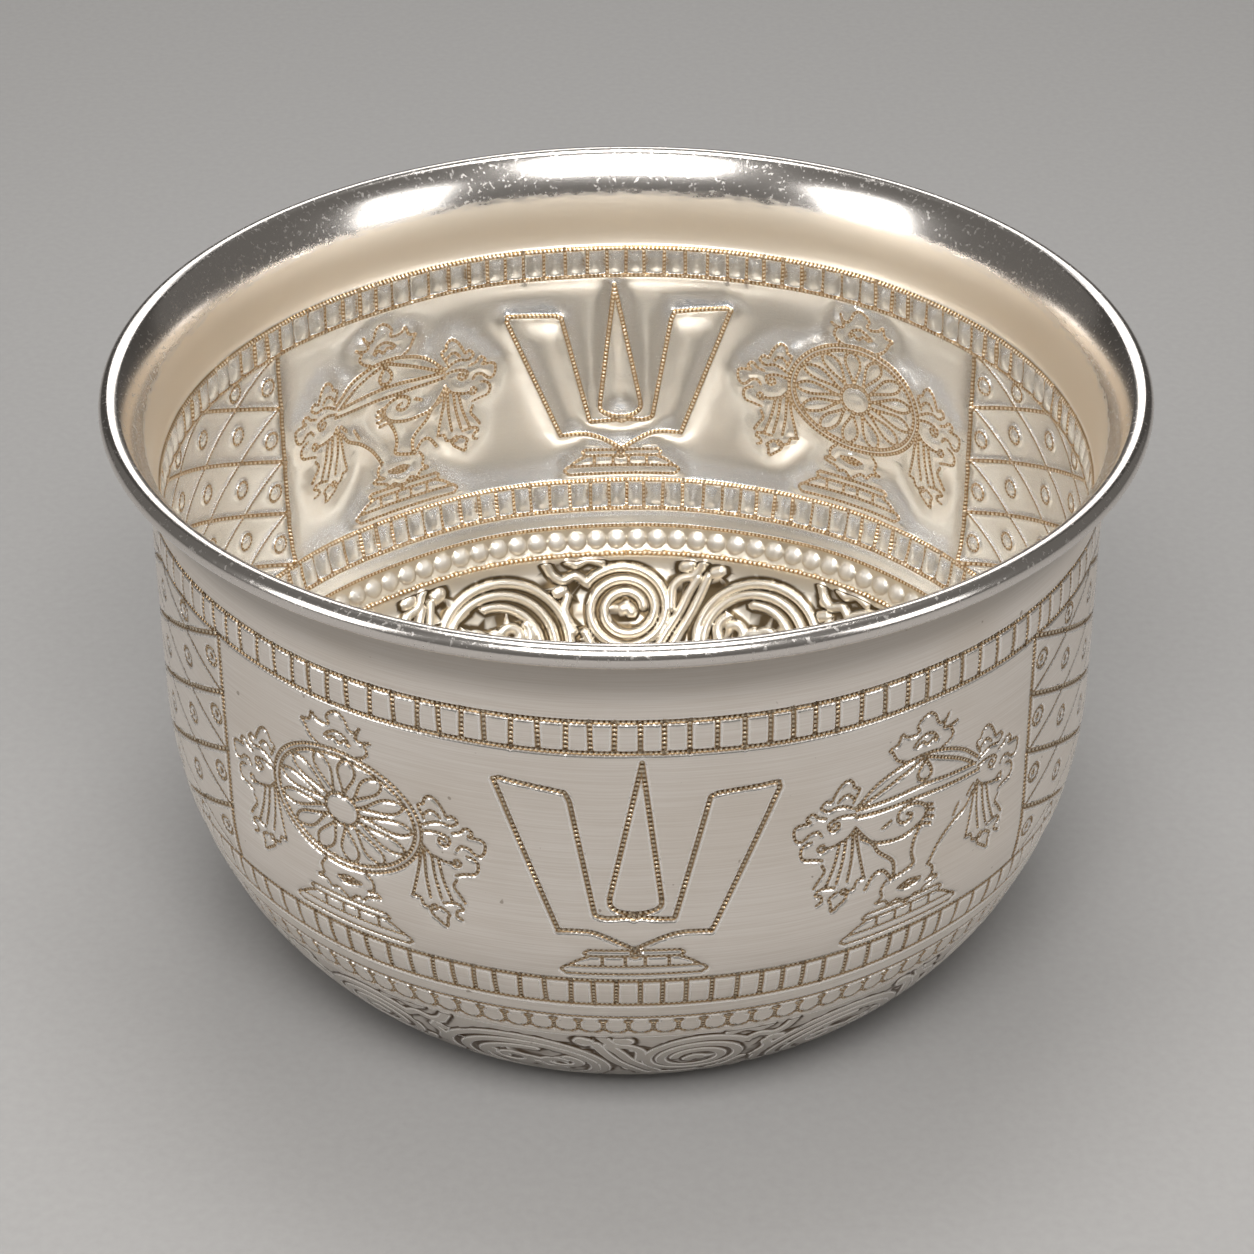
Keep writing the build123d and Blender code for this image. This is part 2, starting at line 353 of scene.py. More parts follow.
def crest():
    """A wavy crown with an eye in it, on top of the wheel and of the conch."""
    return [
        bend([
            (-2.6, 0.1), (-3.6, 0.7), (-4.2, 1.8), (-4.6, 2.3), (-3.6, 2.6), (-3.2, 3.6), (-2.6, 3.1),
            (-1.6, 2.9), (-1.0, 3.2), (-1.3, 3.8), (-0.8, 4.5), (0.1, 4.9), (0.9, 4.4), (1.3, 3.5),
            (1.7, 3.1), (2.3, 3.2), (2.7, 3.8), (2.3, 2.9), (2.2, 2.4), (2.9, 2.2), (3.9, 2.5), (3.2, 2.0),
            (3.5, 1.2), (3.0, 0.5), (2.1, 0.1),
        ]),
        bend([(-1.6, 1.6), (-1.1, 2.1), (-0.1, 2.5), (0.9, 2.2), (1.4, 1.5)]),
        bend([(-1.2, 1.4), (-0.5, 1.7), (0.1, 1.2), (0.8, 1.7), (1.2, 1.3)]),
    ]


def plume():
    """An eye with a bud above it and flames round its outer side, drawn to the right."""
    return [
        bend([
            (0.2, 0.3), (1.3, 0.5), (2.3, 0.4), (3.0, 0.0), (2.9, -0.7), (2.4, -1.0), (1.9, -0.7),
            (1.9, -0.2), (2.3, -0.1), (2.5, -0.4),
        ]),
        bend([(0.1, -1.5), (0.8, -2.3), (1.8, -2.7), (2.7, -2.9), (3.4, -2.8)]),
        bend([
            (0.3, 1.9), (-0.3, 3.2), (0.3, 3.6), (0.5, 4.3), (1.1, 4.7), (1.8, 4.3), (2.4, 3.4), (2.8, 2.6),
            (3.4, 2.8), (3.9, 2.2), (3.4, 1.7),
        ]),
        bend([(0.4, 2.4), (0.9, 2.9), (1.5, 2.9), (2.0, 2.4)]),
        bend([(0.3, 1.1), (1.2, 1.6), (2.1, 1.8), (2.9, 1.6)]),
        bend([
            (3.4, 0.8), (4.2, 1.1), (4.6, 1.6), (5.1, 1.6), (5.4, 1.1), (5.0, 0.7), (6.2, 0.6), (6.7, 0.2),
            (6.6, -0.9), (6.1, -1.4), (5.5, -1.2), (5.0, -0.7), (4.2, -0.6), (3.8, -1.1),
        ]),
        bend([(4.9, -1.7), (5.5, -1.9), (5.9, -2.4), (5.9, -3.2), (5.5, -3.7), (4.6, -3.9), (3.7, -4.2)]),
        curl(3.7, -2.7, 0.55, 200),
        bend([(3.6, -4.9), (3.3, -5.7), (3.9, -6.6), (4.4, -7.4)]),
    ]


def tassel():
    """A tassel of four strands that fan out, with a ragged fringe."""
    strands = [
        [(-0.1, -1.9), (-0.6, -5.0), (-1.2, -7.8)], [(0.2, -2.1), (0.3, -5.0), (0.7, -7.6)],
        [(1.0, -2.6), (1.3, -5.0), (1.9, -7.5)], [(1.7, -2.8), (2.2, -5.2), (3.1, -7.7)],
    ]
    fringe = [
        (-1.2, -7.9), (-0.4, -8.0), (-0.1, -8.8), (0.5, -9.0), (0.9, -9.8), (1.5, -10.3), (2.4, -10.9),
        (2.5, -9.9), (2.7, -9.3), (1.9, -8.7),
    ]
    hook = [(2.2, -8.0), (3.2, -7.8), (3.9, -7.9), (4.2, -8.4), (3.6, -8.7), (3.5, -9.3), (4.0, -9.6)]
    return [bend(line) for line in (*strands, fringe, hook)] + [curl(1.1, -8.9, 0.4, 30)]


def seat():
    """The open lotus that carries the wheel and the conch."""
    return [
        bend([
            (-2.6, 1.8), (-3.1, 0.9), (-2.9, 0.0), (-3.6, -0.6), (-2.5, -0.7), (-1.9, -1.4), (-1.1, -1.1),
            (-0.3, -1.6), (0.2, -2.1),
        ]),
        bend([
            (2.7, 1.9), (3.4, 1.2), (3.4, 0.3), (2.7, -0.2), (3.7, 0.0), (4.2, -0.4), (3.4, -0.7),
            (2.5, -1.0), (2.1, -1.5), (1.3, -1.3), (0.6, -1.9),
        ]),
        bend([(-0.9, 0.4), (0.1, 0.8), (1.1, 0.7), (1.9, 0.5), (0.9, 0.1), (-0.2, 0.0), (-0.9, 0.4)]),
        bend([(-0.2, 0.45), (0.5, 0.35), (1.2, 0.45)]),
    ]


def pedestal():
    """A stepped pedestal: two bars with round ends, and a row of cells between them."""
    lines = []
    for half, low_y, high_y in ((4.6, 3.5, 4.3), (6.8, 1.0, 2.1)):
        cap = (high_y - low_y) / 2
        lines += [[(-half, y), (half, y)] for y in (low_y, high_y)]
        for s in (-1, 1):
            lines.append(bend([(s * half, low_y), (s * (half + cap), low_y + cap), (s * half, high_y)]))
    lines += [[(x, 2.35), (x, 3.2)] for x in (-3.2, -0.9, 1.1, 3.5)]
    return lines + [bend([(s * 4.8, 3.3), (s * 5.6, 2.9), (s * 6.3, 2.4)]) for s in (-1, 1)]


# %% Wheel, forehead mark and conch
def wheel(petals=13):
    """The wheel's lines and their weights, drawn about its own centre."""
    rx, ry = 9.25, 6.95
    rims = [oval(0, 0, rx, ry, 96), oval(0, 0, 0.925 * rx, 0.905 * ry, 96), oval(0, 0, 2.05, 1.85)]
    lines = [(rim, middling) for rim in rims]
    petal_foot, petal_tip = 0.25, 0.90
    reach = np.linspace(petal_foot, petal_tip, 18)
    swell = np.sin(math.pi * ((reach - petal_foot) / (petal_tip - petal_foot)) ** 1.35) ** 0.75
    for k in range(petals):
        middle = 2 * math.pi * k / petals
        spread = math.radians(126 / petals) * swell
        for side in (-1, 1):
            a = middle + side * spread
            lines.append((np.column_stack([rx * reach * np.cos(a), ry * reach * np.sin(a)]), fine))
    return lines


def forehead_mark():
    """Two arms joined by a foot, a drop between them, and two small rings under the drop."""
    return [
        [(0, 8.65), (-2.6, 8.45), (-3.4, 8.6), (-3.9, 8.9), (-6.4, 23.4), (-13.8, 24.5), (-7.5, 6.7)],
        [(0, 8.65), (2.6, 8.35), (4.0, 8.3), (7.5, 23.1), (14.6, 23.7), (7.7, 6.5)],
        bend([(-7.5, 6.7), (-5.4, 6.8), (-3.9, 6.6), (-2.1, 5.7), (0, 4.45)]),
        bend([(7.7, 6.5), (5.2, 6.6), (3.6, 6.3), (1.8, 5.5), (0, 4.45)]),
        [(0.8, 27.0), (-2.4, 10.9)],
        [(0.8, 27.0), (2.7, 10.7)],
        bend([(-2.4, 10.9), (-2.3, 10.0), (-1.5, 9.3), (0.1, 9.0), (1.7, 9.3), (2.6, 9.9), (2.7, 10.7)]),
        oval(0, 8.7, 0.34, 0.34, 12),
        oval(0.1, 3.7, 0.34, 0.34, 12),
    ]


def conch():
    """A lidded conch, drawn about its own middle line."""
    lines = [
        bend([(-7.7, 18.3), (-5.4, 20.3), (-2.5, 21.4), (0.2, 21.7), (3.0, 21.2), (5.6, 20.0), (7.7, 18.2)]),
        bend([(-7.2, 18.2), (-4.0, 19.6), (-1.8, 20.5), (0.3, 21.4)]),
        bend([(0.5, 21.3), (3.0, 20.2), (5.0, 19.2), (6.9, 17.9)]),
        bend([(0.4, 21.0), (-0.5, 19.7), (-0.3, 18.9), (0.4, 18.6), (1.1, 18.9), (1.1, 19.8), (0.4, 21.0)]),
        bend([(-7.6, 17.9), (-4.0, 17.9), (0.0, 18.1), (3.5, 17.8), (7.4, 17.5)]),
        bend([(-7.6, 17.1), (-5.0, 16.9), (0.0, 16.8), (4.0, 16.6), (7.9, 16.5)]),
        bend([
            (-7.8, 15.8), (-6.8, 14.4), (-5.6, 13.0), (-5.0, 11.9), (-3.3, 10.2), (-3.0, 8.7), (-3.3, 7.9),
        ]),
        bend([(7.3, 14.1), (6.3, 12.7), (4.5, 11.7), (2.9, 10.3), (2.0, 9.0), (1.4, 7.9)]),
        bend([
            (-7.0, 14.2), (-5.2, 13.1), (-2.8, 12.7), (-0.8, 13.1), (0.5, 13.9), (0.8, 15.0), (0.0, 15.9),
            (-1.4, 16.3), (-2.6, 15.9), (-2.8, 15.0), (-2.2, 14.4), (-1.4, 14.5), (-1.1, 15.0), (-1.6, 15.3),
        ]),
        bend([(0.2, 13.3), (-0.6, 11.8), (-0.9, 10.2), (-0.6, 8.8), (-1.6, 8.3), (-2.8, 8.0)]),
        bend([(-6.4, 7.9), (-5.4, 9.3), (-4.3, 9.3), (-3.4, 8.1)]),
        [(-4.6, 14.8), (-3.8, 15.2)], [(4.6, 12.6), (5.1, 13.6)], [(6.5, 14.2), (7.2, 15.0)],
    ]
    for x, y in ((1.0, 13.2), (1.35, 13.9), (1.4, 14.7), (1.2, 15.4)):
        lines.append([(x - 0.35, y), (x + 0.25, y - 0.25)])
    return lines


wheel_x, wheel_y, mark_x, conch_x = -30.1, 15.6, 0.6, 31.0
wings = (
    (-1, wheel_x - 9.3, 15.9), (1, wheel_x + 9.3, 15.9), (-1, conch_x - 7.8, 17.2), (1, conch_x + 7.8, 16.7),
)
emblems = [(placed(line, mark_x, 0), bold) for line in forehead_mark()]
emblems += [(placed(line, wheel_x, wheel_y), weight) for line, weight in wheel()]
emblems += [(placed(line, conch_x, 0), middling) for line in conch()]
for x, y in ((wheel_x, 22.4), (conch_x + 0.4, 21.6)):
    emblems += [(placed(line, x, y), fine) for line in crest()]
for x, y in ((wheel_x, 6.6), (conch_x - 1.4, 6.0)):
    emblems += [(placed(line, x, y), fine) for line in seat()]
for x in (wheel_x + 0.1, mark_x, conch_x - 1.4):
    emblems += [(placed(line, x, 0), fine) for line in pedestal()]
for side, x, y in wings:
    emblems += [(placed(line, x, y, side), fine) for line in plume() + tassel()]
arm_tip, hub = (2.3, 1.1, 0.35, -0.22), (1.6, 1.4, 0.45, 0.10)
spots = [(mark_x - 9.7, 22.3, *arm_tip), (mark_x + 10.6, 21.8, *arm_tip), (wheel_x, wheel_y, *hub)]
for centre in (front, back):
    for line, weight in emblems:
        chase(on_sheet(line, centre), *weight)
    for side in (-1, 1):
        edge = centre + side * panel_edge
        chase([(edge, ladder_low), (edge, ladder_top_foot)], *bold)
print(f"emblems: {len(strokes)} chased lines on two panels")

# %% [markdown]
# ## Borders, lattice and pearls
# The ladders are two rings joined by rungs. The lattice is two families of slanting lines, with an eyelet
# punched in each diamond. The pearl row is a ring, a rope that only shows inside, a spear between each pair
# of pearls, and a scallop under each pearl. All three repeat, so each is a loop.

# %% Ladders, lattice and pearl row
def ring(along, *weight, pitch=0.52, points=721):
    """A chased line all the way round."""
    angles = np.linspace(-math.pi, math.pi, points)
    chase(np.column_stack([angles, np.full(points, along)]), *weight, pitch=pitch)


rungs, rung_waver, rung_lean = 129, 0.10, 0.002
for top, foot in ((ladder_top, ladder_top_foot), (ladder_low, ladder_low_foot)):
    ring(top, *bold)
    ring(foot, *bold)
    for k in range(rungs):
        angle = 2 * math.pi * (k + 0.5 + rung_waver * math.sin(5.3 * k)) / rungs
        chase([(angle, foot), (angle + rung_lean * math.sin(3.1 * k), top)], *bold, 0.3)

diamond_columns, diamond_rows = 8, 4
broad_line, thin_line = ((1.1, 1.0), 0.95), ((0.7, 0.62), 0.45)
eyelet_x, eyelet_y, eyelet_pip, side_inset, end_inset = 1.05, 0.98, 0.2, 1.7, 1.5
lattice_half = (math.pi / 2 - panel_edge) * wall_radius
column_pitch, row_pitch = 2 * lattice_half / diamond_columns, panel_height / diamond_rows
slope = row_pitch / 2 / column_pitch
bosses = []
for centre, lean in ((right_side, -1), (left_side, 1)):
    for k in range(-diamond_columns, 2 * diamond_rows):
        for family, (weight, pitch) in ((lean, broad_line), (-lean, thin_line)):
            x = np.linspace(-lattice_half, lattice_half, 400)
            y = row_pitch * k + family * slope * (x - (-lattice_half if family > 0 else lattice_half))
            inside = (y >= 0) & (y <= panel_height)
            if inside.sum() > 4:
                chase(on_sheet(np.column_stack([x, y])[inside], centre), *weight, pitch=pitch)
    for column in range(diamond_columns + 1):
        x = column * column_pitch - lattice_half
        x = np.clip(x, side_inset - lattice_half, lattice_half - side_inset)
        levels = np.arange(diamond_rows) + 0.5 if column % 2 == 0 else np.arange(1, diamond_rows)
        heights = list(row_pitch * levels)
        if column % 2:
            heights += [panel_height - end_inset, end_inset]
        for y in heights:
            chase(on_sheet(oval(x, y, eyelet_x, eyelet_y, 20), centre), *middling)
            chase(on_sheet(oval(x, y, eyelet_pip, eyelet_pip, 8), centre), 0.8, 0.7, 0)
            bosses.append(on_sheet([(x, y)], centre)[0])

pearls, rope_pitch = 118, 0.62
spear_head, spear_shaft = (0.6, 0.95), (1.2, 2.3)
ring(pearl_top, *middling, 0.5)
ring(pearl_foot, 0, 1.0, 1.0, pitch=rope_pitch)
pearl_pitch = 2 * math.pi / pearls
scallop = bend([(0.0, -2.2), (0.14, -2.85), (0.5, -3.25), (0.86, -2.85), (1.0, -2.2)])
for k in range(pearls):
    angle = pearl_pitch * k
    chase([(angle, pearl_top - down) for down in spear_head], 1.0, 1.7, 0)
    chase([(angle, pearl_top - down) for down in spear_shaft], 0.9, 0.8, 0)
    chase(np.column_stack([angle + scallop[:, 0] * pearl_pitch, pearl_top + scallop[:, 1]]), 0.8, 0.75, 0)
print(f"with borders, lattice and pearls: {len(strokes)} chased lines")

# %% [markdown]
# ## Vines and the flower on the floor
# The underside is covered with running scrolls. Each vine is a round tube inside. Outside it is a smooth
# band whose edges are polished by rubbing and lightened by a painted highlight, with a groove on each side
# that is darkened by brown tarnish and by painted shade. A wide scroll, slanting stems, and a narrow scroll
# that flows out of an S-shaped leaf make one repeat, eight times round. Only their upper half shows in the
# photograph, so the small scrolls below them and the flower on the flat floor are the plain kind that such
# bowls have.

# %% Vine centre lines
vines = []
repeats, crowding, flattening = 8, 4.0, 0.82
repeat_width = 2 * math.pi / repeats * wall_radius


def scroll(x, y, radius, pitch, turns, start, lean=1, drift=0.0):
    """A spiral that winds inwards from its start angle (degrees), clockwise where lean is 1.

    Drift is how far its centre moves aside in each turn, so that the turns crowd on one side.
    """
    t = np.linspace(0, turns, int(60 * turns))
    a = math.radians(start) - lean * 2 * math.pi * t
    r = radius - pitch * t
    return np.column_stack([x + drift * t + r * np.cos(a), y + flattening * r * np.sin(a)])


def vine(line, width=1.0):
    """Adds one vine, drawn in panel millimetres. The repeats crowd a little towards one side, as by hand."""
    line = on_sheet(line, 0.0)
    line[:, 0] += crowding / wall_radius * (1 + np.cos(line[:, 0]))
    vines.append((line, 1.0, width, 1.0, 1.0))


for k in range(repeats):
    x = repeat_width * k
    vine(scroll(x - 20.6, -20.3, 10.4, 1.75, 2.3, 195, 1, 0.55))
    vine(scroll(x - 22.2, -19.3, 2.9, 1.6, 1.1, 150, -1), 1.1)
    vine(scroll(x - 16.5, -19.0, 2.7, 1.5, 1.0, 60, 1), 1.1)
    vine(bend([
        (x - 23.6, -21.4), (x - 21.2, -21.6), (x - 19.4, -20.3), (x - 18.6, -21.6), (x - 16.4, -21.8),
    ]))
    vine(scroll(x + 0.4, -17.0, 6.9, 1.90, 2.35, 40, -1, -0.2))
    vine(bend([(x + 5.7, -13.4), (x + 7.2, -12.4), (x + 8.9, -12.9), (x + 10.3, -12.2), (x + 11.2, -10.7)]))
    vine(bend([(x + 3.6, -10.9), (x + 5.4, -10.4), (x + 7.0, -11.0), (x + 8.2, -10.5)]), 0.9)
    vine(bend([(x - 0.6, -17.3), (x - 0.1, -16.8), (x + 0.5, -16.9)]), 1.3)
    vine(bend([(x - 10.9, -10.6), (x - 9.6, -12.3), (x - 7.8, -12.9), (x - 6.6, -14.2), (x - 6.6, -16.6)]))
    vine(bend([(x - 10.2, -12.6), (x - 9.0, -14.6), (x - 7.9, -17.0), (x - 6.2, -19.6), (x - 4.4, -22.4)]))
    vine(bend([(x - 11.6, -12.4), (x - 10.6, -15.0), (x - 9.3, -17.8), (x - 7.6, -20.6), (x - 5.8, -23.8)]))
    vine(bend([(x + 8.6, -15.0), (x + 9.2, -16.9), (x + 8.2, -19.4)]))
    vine(bend([(x + 6.4, -19.8), (x + 4.6, -22.6), (x + 0.5, -24.2), (x - 4.6, -23.6)]))
    vine(scroll(x - 13.0, -28.4, 4.4, 2.0, 1.8, 120, -1))
    vine(scroll(x + 4.5, -28.4, 4.4, 2.0, 1.8, 60, 1))
    vine(bend([(x + 10.0, -25.0), (x + 12.5, -27.6), (x + 11.0, -30.6)]))
    for bud_x, bud_y in ((-8.6, -11.2), (-12.9, -11.6), (-19.6, -18.6), (9.6, -14.2)):
        vine([(x + bud_x - 0.3, bud_y), (x + bud_x + 0.3, bud_y - 0.2)], 1.4)

# %% Flower on the floor
ring(vine_foot, 1.0, 1.0, points=481)
floor_petals, flower_rim, flower_heart = 16, 27.4, 5.2
petal_start, petal_end, petal_length, petal_spread = 5.6, 26.2, 21.4, 10.6
ring(flower_rim, 0.8, 1.0, points=481)
ring(flower_heart, 1.0, 1.0, points=121)
reach = np.linspace(petal_start, petal_end, 24)
spread = math.radians(petal_spread) * np.sin(math.pi * ((reach - flower_heart) / petal_length) ** 0.9) ** 0.8
for k in range(floor_petals):
    for side in (-1, 1):
        chase(np.column_stack([2 * math.pi * k / floor_petals + side * spread, reach]))
print(f"vines: {len(vines)}; with the flower: {len(strokes)} chased lines")

# %% [markdown]
# ## Measuring the distance to the lines
# To press a groove, every point of the metal has to know how far it is from the nearest line, and how far
# along that line it lies, for the punch's teeth. Each line is laid on the raised surface as points a
# tenth of a millimetre apart, and a k-d tree finds the nearest one. The lines and the mesh share one
# slight waver, because a hand-drawn border is never quite level.

# %% Lay the lines on the surface
sample_step = 0.1
far_off = 9.0
waver_from, waver_to, hand_tilt = 34, 100, 0.5


def by_hand(angle, along):
    """The distance along the sheet with the waver of a line drawn by hand."""
    fade = np.clip((along - waver_from) / 12, 0, 1) * np.clip((waver_to - along) / 6, 0, 1)
    tilt = -hand_tilt * np.sin(angle) * (1 + np.cos(angle)) / 2
    waver = 0.10 * np.sin(3 * angle + 0.6) + 0.07 * np.sin(7 * angle + 2.1) + 0.05 * np.sin(13 * angle)
    return along + fade * (tilt + waver)


def point_tree(points):
    """A k-d tree, which finds the nearest of many points quickly."""
    tree = kdtree.KDTree(len(points))
    for i, p in enumerate(points):
        tree.insert(p, i)
    tree.balance()
    return tree


class Laid:
    """Lines laid on the surface: sample points, directions, the run along each line, and its weights."""

    def __init__(self, lines):
        points, directions, run, weights = [], [], [], []
        for line, *weight in lines:
            dense = np.linspace(0, len(line) - 1, max(8 * len(line), 40))
            angle, along = (np.interp(dense, np.arange(len(line)), line[:, i]) for i in (0, 1))
            xyz = raised(angle, by_hand(angle, along))[0]
            reach = np.concatenate([[0], np.cumsum(np.linalg.norm(np.diff(xyz, axis=0), axis=1))])
            even = np.linspace(0, reach[-1], max(int(reach[-1] / sample_step), 3))
            even_xyz = np.column_stack([np.interp(even, reach, xyz[:, i]) for i in range(3)])
            points.append(even_xyz)
            directions.append(np.gradient(even_xyz, axis=0))
            run.append(even)
            weights.append(np.tile(weight, (len(even), 1)))
        self.points, self.directions = np.vstack(points), np.vstack(directions)
        self.directions /= np.linalg.norm(self.directions, axis=1)[:, None] + 1e-12
        self.run = np.concatenate(run)
        self.outside, self.width, self.inside, self.pitch = np.vstack(weights).T
        self.tree = point_tree(self.points)

    def nearest(self, xyz):
        """For each point: the index of the nearest sample, the distance across and the run along."""
        index = np.fromiter((self.tree.find(p)[1] for p in xyz), int, len(xyz))
        gap = xyz - self.points[index]
        ahead = np.clip((gap * self.directions[index]).sum(1), -sample_step, sample_step)
        across = np.linalg.norm(gap - ahead[:, None] * self.directions[index], axis=1)
        return index, across, self.run[index] + ahead


laid = Laid(strokes)
laid_vines = Laid(vines)
chased_metres, vine_metres = (len(lines.run) * sample_step * MM for lines in (laid, laid_vines))
print(f"laid {chased_metres:.2f} m of chased line and {vine_metres:.2f} m of vine")

# %% [markdown]
# ## The flat blank
# The blank is a disc, made from a circle that is extruded and scaled inwards ring by ring. Its rings fall
# on the borders, so that the bowl can later be parted along its chased lines. Then the edges that lie
# near a line are halved until the punch's groove has room to show. Plain metal stays coarse.

# %% Make the blank
columns = 240
plain_row, curl_row = 1.32, 0.26
dish_split = 43.0
band_edges = [
    lip_edge, curl_start, flare_start, ladder_top, ladder_top_foot, ladder_low, ladder_low_foot, pearl_top,
    pearl_foot, dish_split, vine_foot, plain_row,
]
rings = [lip_edge]
for outer, inner in zip(band_edges, band_edges[1:]):
    row = curl_row if outer == lip_edge else plain_row
    count = math.ceil((outer - inner) / row)
    rings += [outer + (inner - outer) * (i + 1) / count for i in range(count)]


def edit_all(piece):
    """Opens one object in edit mode, with all of it selected and nothing else."""
    bpy.ops.object.select_all(action="DESELECT")
    piece.select_set(True)
    bpy.context.view_layer.objects.active = piece
    bpy.ops.object.mode_set(mode="EDIT")
    bpy.ops.mesh.select_all(action="SELECT")


bpy.ops.object.select_all(action="DESELECT")
bpy.ops.mesh.primitive_circle_add(vertices=columns, radius=lip_edge * MM, fill_type="NOTHING")
blank = bpy.context.object
blank.name = "blank"
edit_all(blank)
for outer, inner in zip(rings, rings[1:]):
    bpy.ops.mesh.extrude_edges_move()
    bpy.ops.transform.resize(value=(inner / outer, inner / outer, 1), center_override=(0, 0, 0))
bpy.ops.mesh.extrude_edges_move()
bpy.ops.mesh.merge(type="CENTER")
bpy.ops.object.mode_set(mode="OBJECT")
print(f"blank: {len(rings)} rings, {len(blank.data.polygons)} faces")


# %% Halve the edges near the lines
def read(items, name, wide=1, kind=float):
    """One row of numbers, or one number, for each vertex, edge, face or corner of a mesh."""
    values = np.empty(len(items) * wide, kind)
    items.foreach_get(name, values)
    return values.reshape(-1, wide) if wide > 1 else values


def flat_places(mesh):
    """Angle and distance along the sheet of each vertex of a flat mesh, and its place in mm."""
    co = read(mesh.vertices, "co", 3) / MM
    return np.arctan2(co[:, 0], -co[:, 1]), np.hypot(co[:, 0], co[:, 1]), co


# Within the first distance of a line, in mm, an edge is halved until it is about the second length.
near_limits = ((0.42, 0.17), (0.9, 0.37), (1.7, 0.75))
vine_limit, low_vine_limit, vine_reach, pearl_limit = 0.20, 0.33, 0.92, 0.46
shortest_edge, plain_limit, halve_past, floor_share = 0.24, 2.5, 1.4, 1.5
mesh = blank.data
bpy.context.tool_settings.mesh_select_mode = (False, True, False)
for step in range(4):
    angle, along, co = flat_places(mesh)
    ends = read(mesh.edges, "vertices", 2, int)
    xyz = raised(angle, by_hand(angle, along))[0]
    middle = (co[ends[:, 0]] + co[ends[:, 1]]) / 2
    mid_angle, mid_along = np.arctan2(middle[:, 0], -middle[:, 1]), np.hypot(middle[:, 0], middle[:, 1])
    mid_xyz = raised(mid_angle, by_hand(mid_angle, mid_along))[0]
    length = np.linalg.norm(xyz[ends[:, 0]] - xyz[ends[:, 1]], axis=1)
    long_edges = np.flatnonzero((length > shortest_edge) & (mid_along < ladder_top + 2))
    index, gap = laid.nearest(mid_xyz[long_edges])[:2]
    gap /= np.maximum(laid.width[index], least_width)
    limit = np.full(len(long_edges), plain_limit)
    for reach, target in near_limits[::-1]:
        limit[gap - 0.25 * length[long_edges] < reach] = target
    limit[mid_along[long_edges] < vine_foot - 1] *= floor_share
    in_vines = (mid_along[long_edges] < pearl_foot + 1) & (mid_along[long_edges] > vine_foot - 1)
    vine_gap = np.full(len(long_edges), far_off)
    vine_gap[in_vines] = laid_vines.nearest(mid_xyz[long_edges][in_vines])[1]
    here_limit = np.where(mid_along[long_edges] > dish_split, vine_limit, low_vine_limit)
    limit = np.where(vine_gap < vine_reach, np.minimum(limit, here_limit), limit)
    in_pearls = (mid_along[long_edges] < pearl_top) & (mid_along[long_edges] > pearl_foot)
    limit = np.where(in_pearls, np.minimum(limit, pearl_limit), limit)
    chosen = np.zeros(len(mesh.edges), bool)
    chosen[long_edges] = length[long_edges] > halve_past * limit
    touched = np.zeros(len(mesh.vertices), bool)
    touched[ends[chosen].ravel()] = True
    mesh.vertices.foreach_set("select", touched)
    mesh.edges.foreach_set("select", chosen)
    mesh.polygons.foreach_set("select", np.zeros(len(mesh.polygons), bool))
    bpy.ops.object.mode_set(mode="EDIT")
    bpy.ops.mesh.subdivide(number_cuts=1, quadcorner="STRAIGHT_CUT")
    bpy.ops.object.mode_set(mode="OBJECT")
    print(f"halved {chosen.sum()} edges: {len(mesh.polygons)} faces")

# %% [markdown]
# ## The relief
# The punch leaves a narrow groove with a tooth mark every half millimetre, and it drags the metal round
# it down in a wide soft hollow. The hollow is the density of lines, blurred over about a millimetre, so a
# crowded emblem sinks as a whole. Inside, the same blows stand out: the ridge is a little wider and
# higher than the groove, as the sheet stretches over it. Between the lines of an emblem the metal puffs up
# into bright pillows, inside and a little outside, and so does each cell of a ladder.

# %% Work out the relief of both faces
groove_depth, groove_half = 0.26, 0.27
burr_height, burr_place, burr_half = 0.07, 0.45, 0.12
ridge_height, ridge_half = 0.34, 0.32
hollow_out, hollow_in, hollow_blur, crowd_limit = 0.24, 0.80, 0.80, 1.1
lattice_calm, border_calm = 0.75, 0.35
puff_height, outer_puff, puff_reach = 0.70, 0.22, 0.50
tooth_share = 0.22
pillow_out, pearl_out, boss_out, groove_by_vine = 0.08, 0.10, 0.10, 0.22
pillow_in, pearl_in, boss_in, roll_in = 0.75, 0.50, 0.40, 0.30
hammer_marks, lip_marks = 0.02, 0.012
vine_half, vine_height, vine_flank, flank_half = 0.60, 0.66, 0.80, 0.24


def line_density(cell=0.3):
    """A grid over the unrolled wall with the blurred density of chased line, 1 beside a single line."""
    # The height rises steadily over the first 3500 steps of the table, up to the flare.
    grid_height, table_size, rising = 112, 4000, 3500
    wide, tall = int(2 * math.pi * wall_radius / cell), int(grid_height / cell)
    r = np.hypot(laid.points[:, 0], laid.points[:, 1])
    angle = np.arctan2(laid.points[:, 0], -laid.points[:, 1])
    table = np.linspace(0, lip_edge, table_size)
    table_z = section(table)[1]
    wall = laid.points[:, 2] > 0.5
    along = np.where(wall, np.interp(laid.points[:, 2], table_z[:rising], table[:rising]), r)
    grid = np.zeros((tall, wide))
    column = ((angle / (2 * math.pi) + 0.5) * wide).astype(int) % wide
    line = np.clip((along / cell).astype(int), 0, tall - 1)
    np.add.at(grid, (line, column), sample_step * laid.inside)
    fy, fx = np.fft.fftfreq(tall)[:, None], np.fft.rfftfreq(wide)[None]
    blur = np.exp(-2 * (math.pi * hollow_blur / cell) ** 2 * (fx**2 + fy**2))
    soft = np.fft.irfft2(np.fft.rfft2(grid) * blur, grid.shape)
    return soft / cell**2 * hollow_blur * math.sqrt(2 * math.pi), cell


density, cell = line_density()


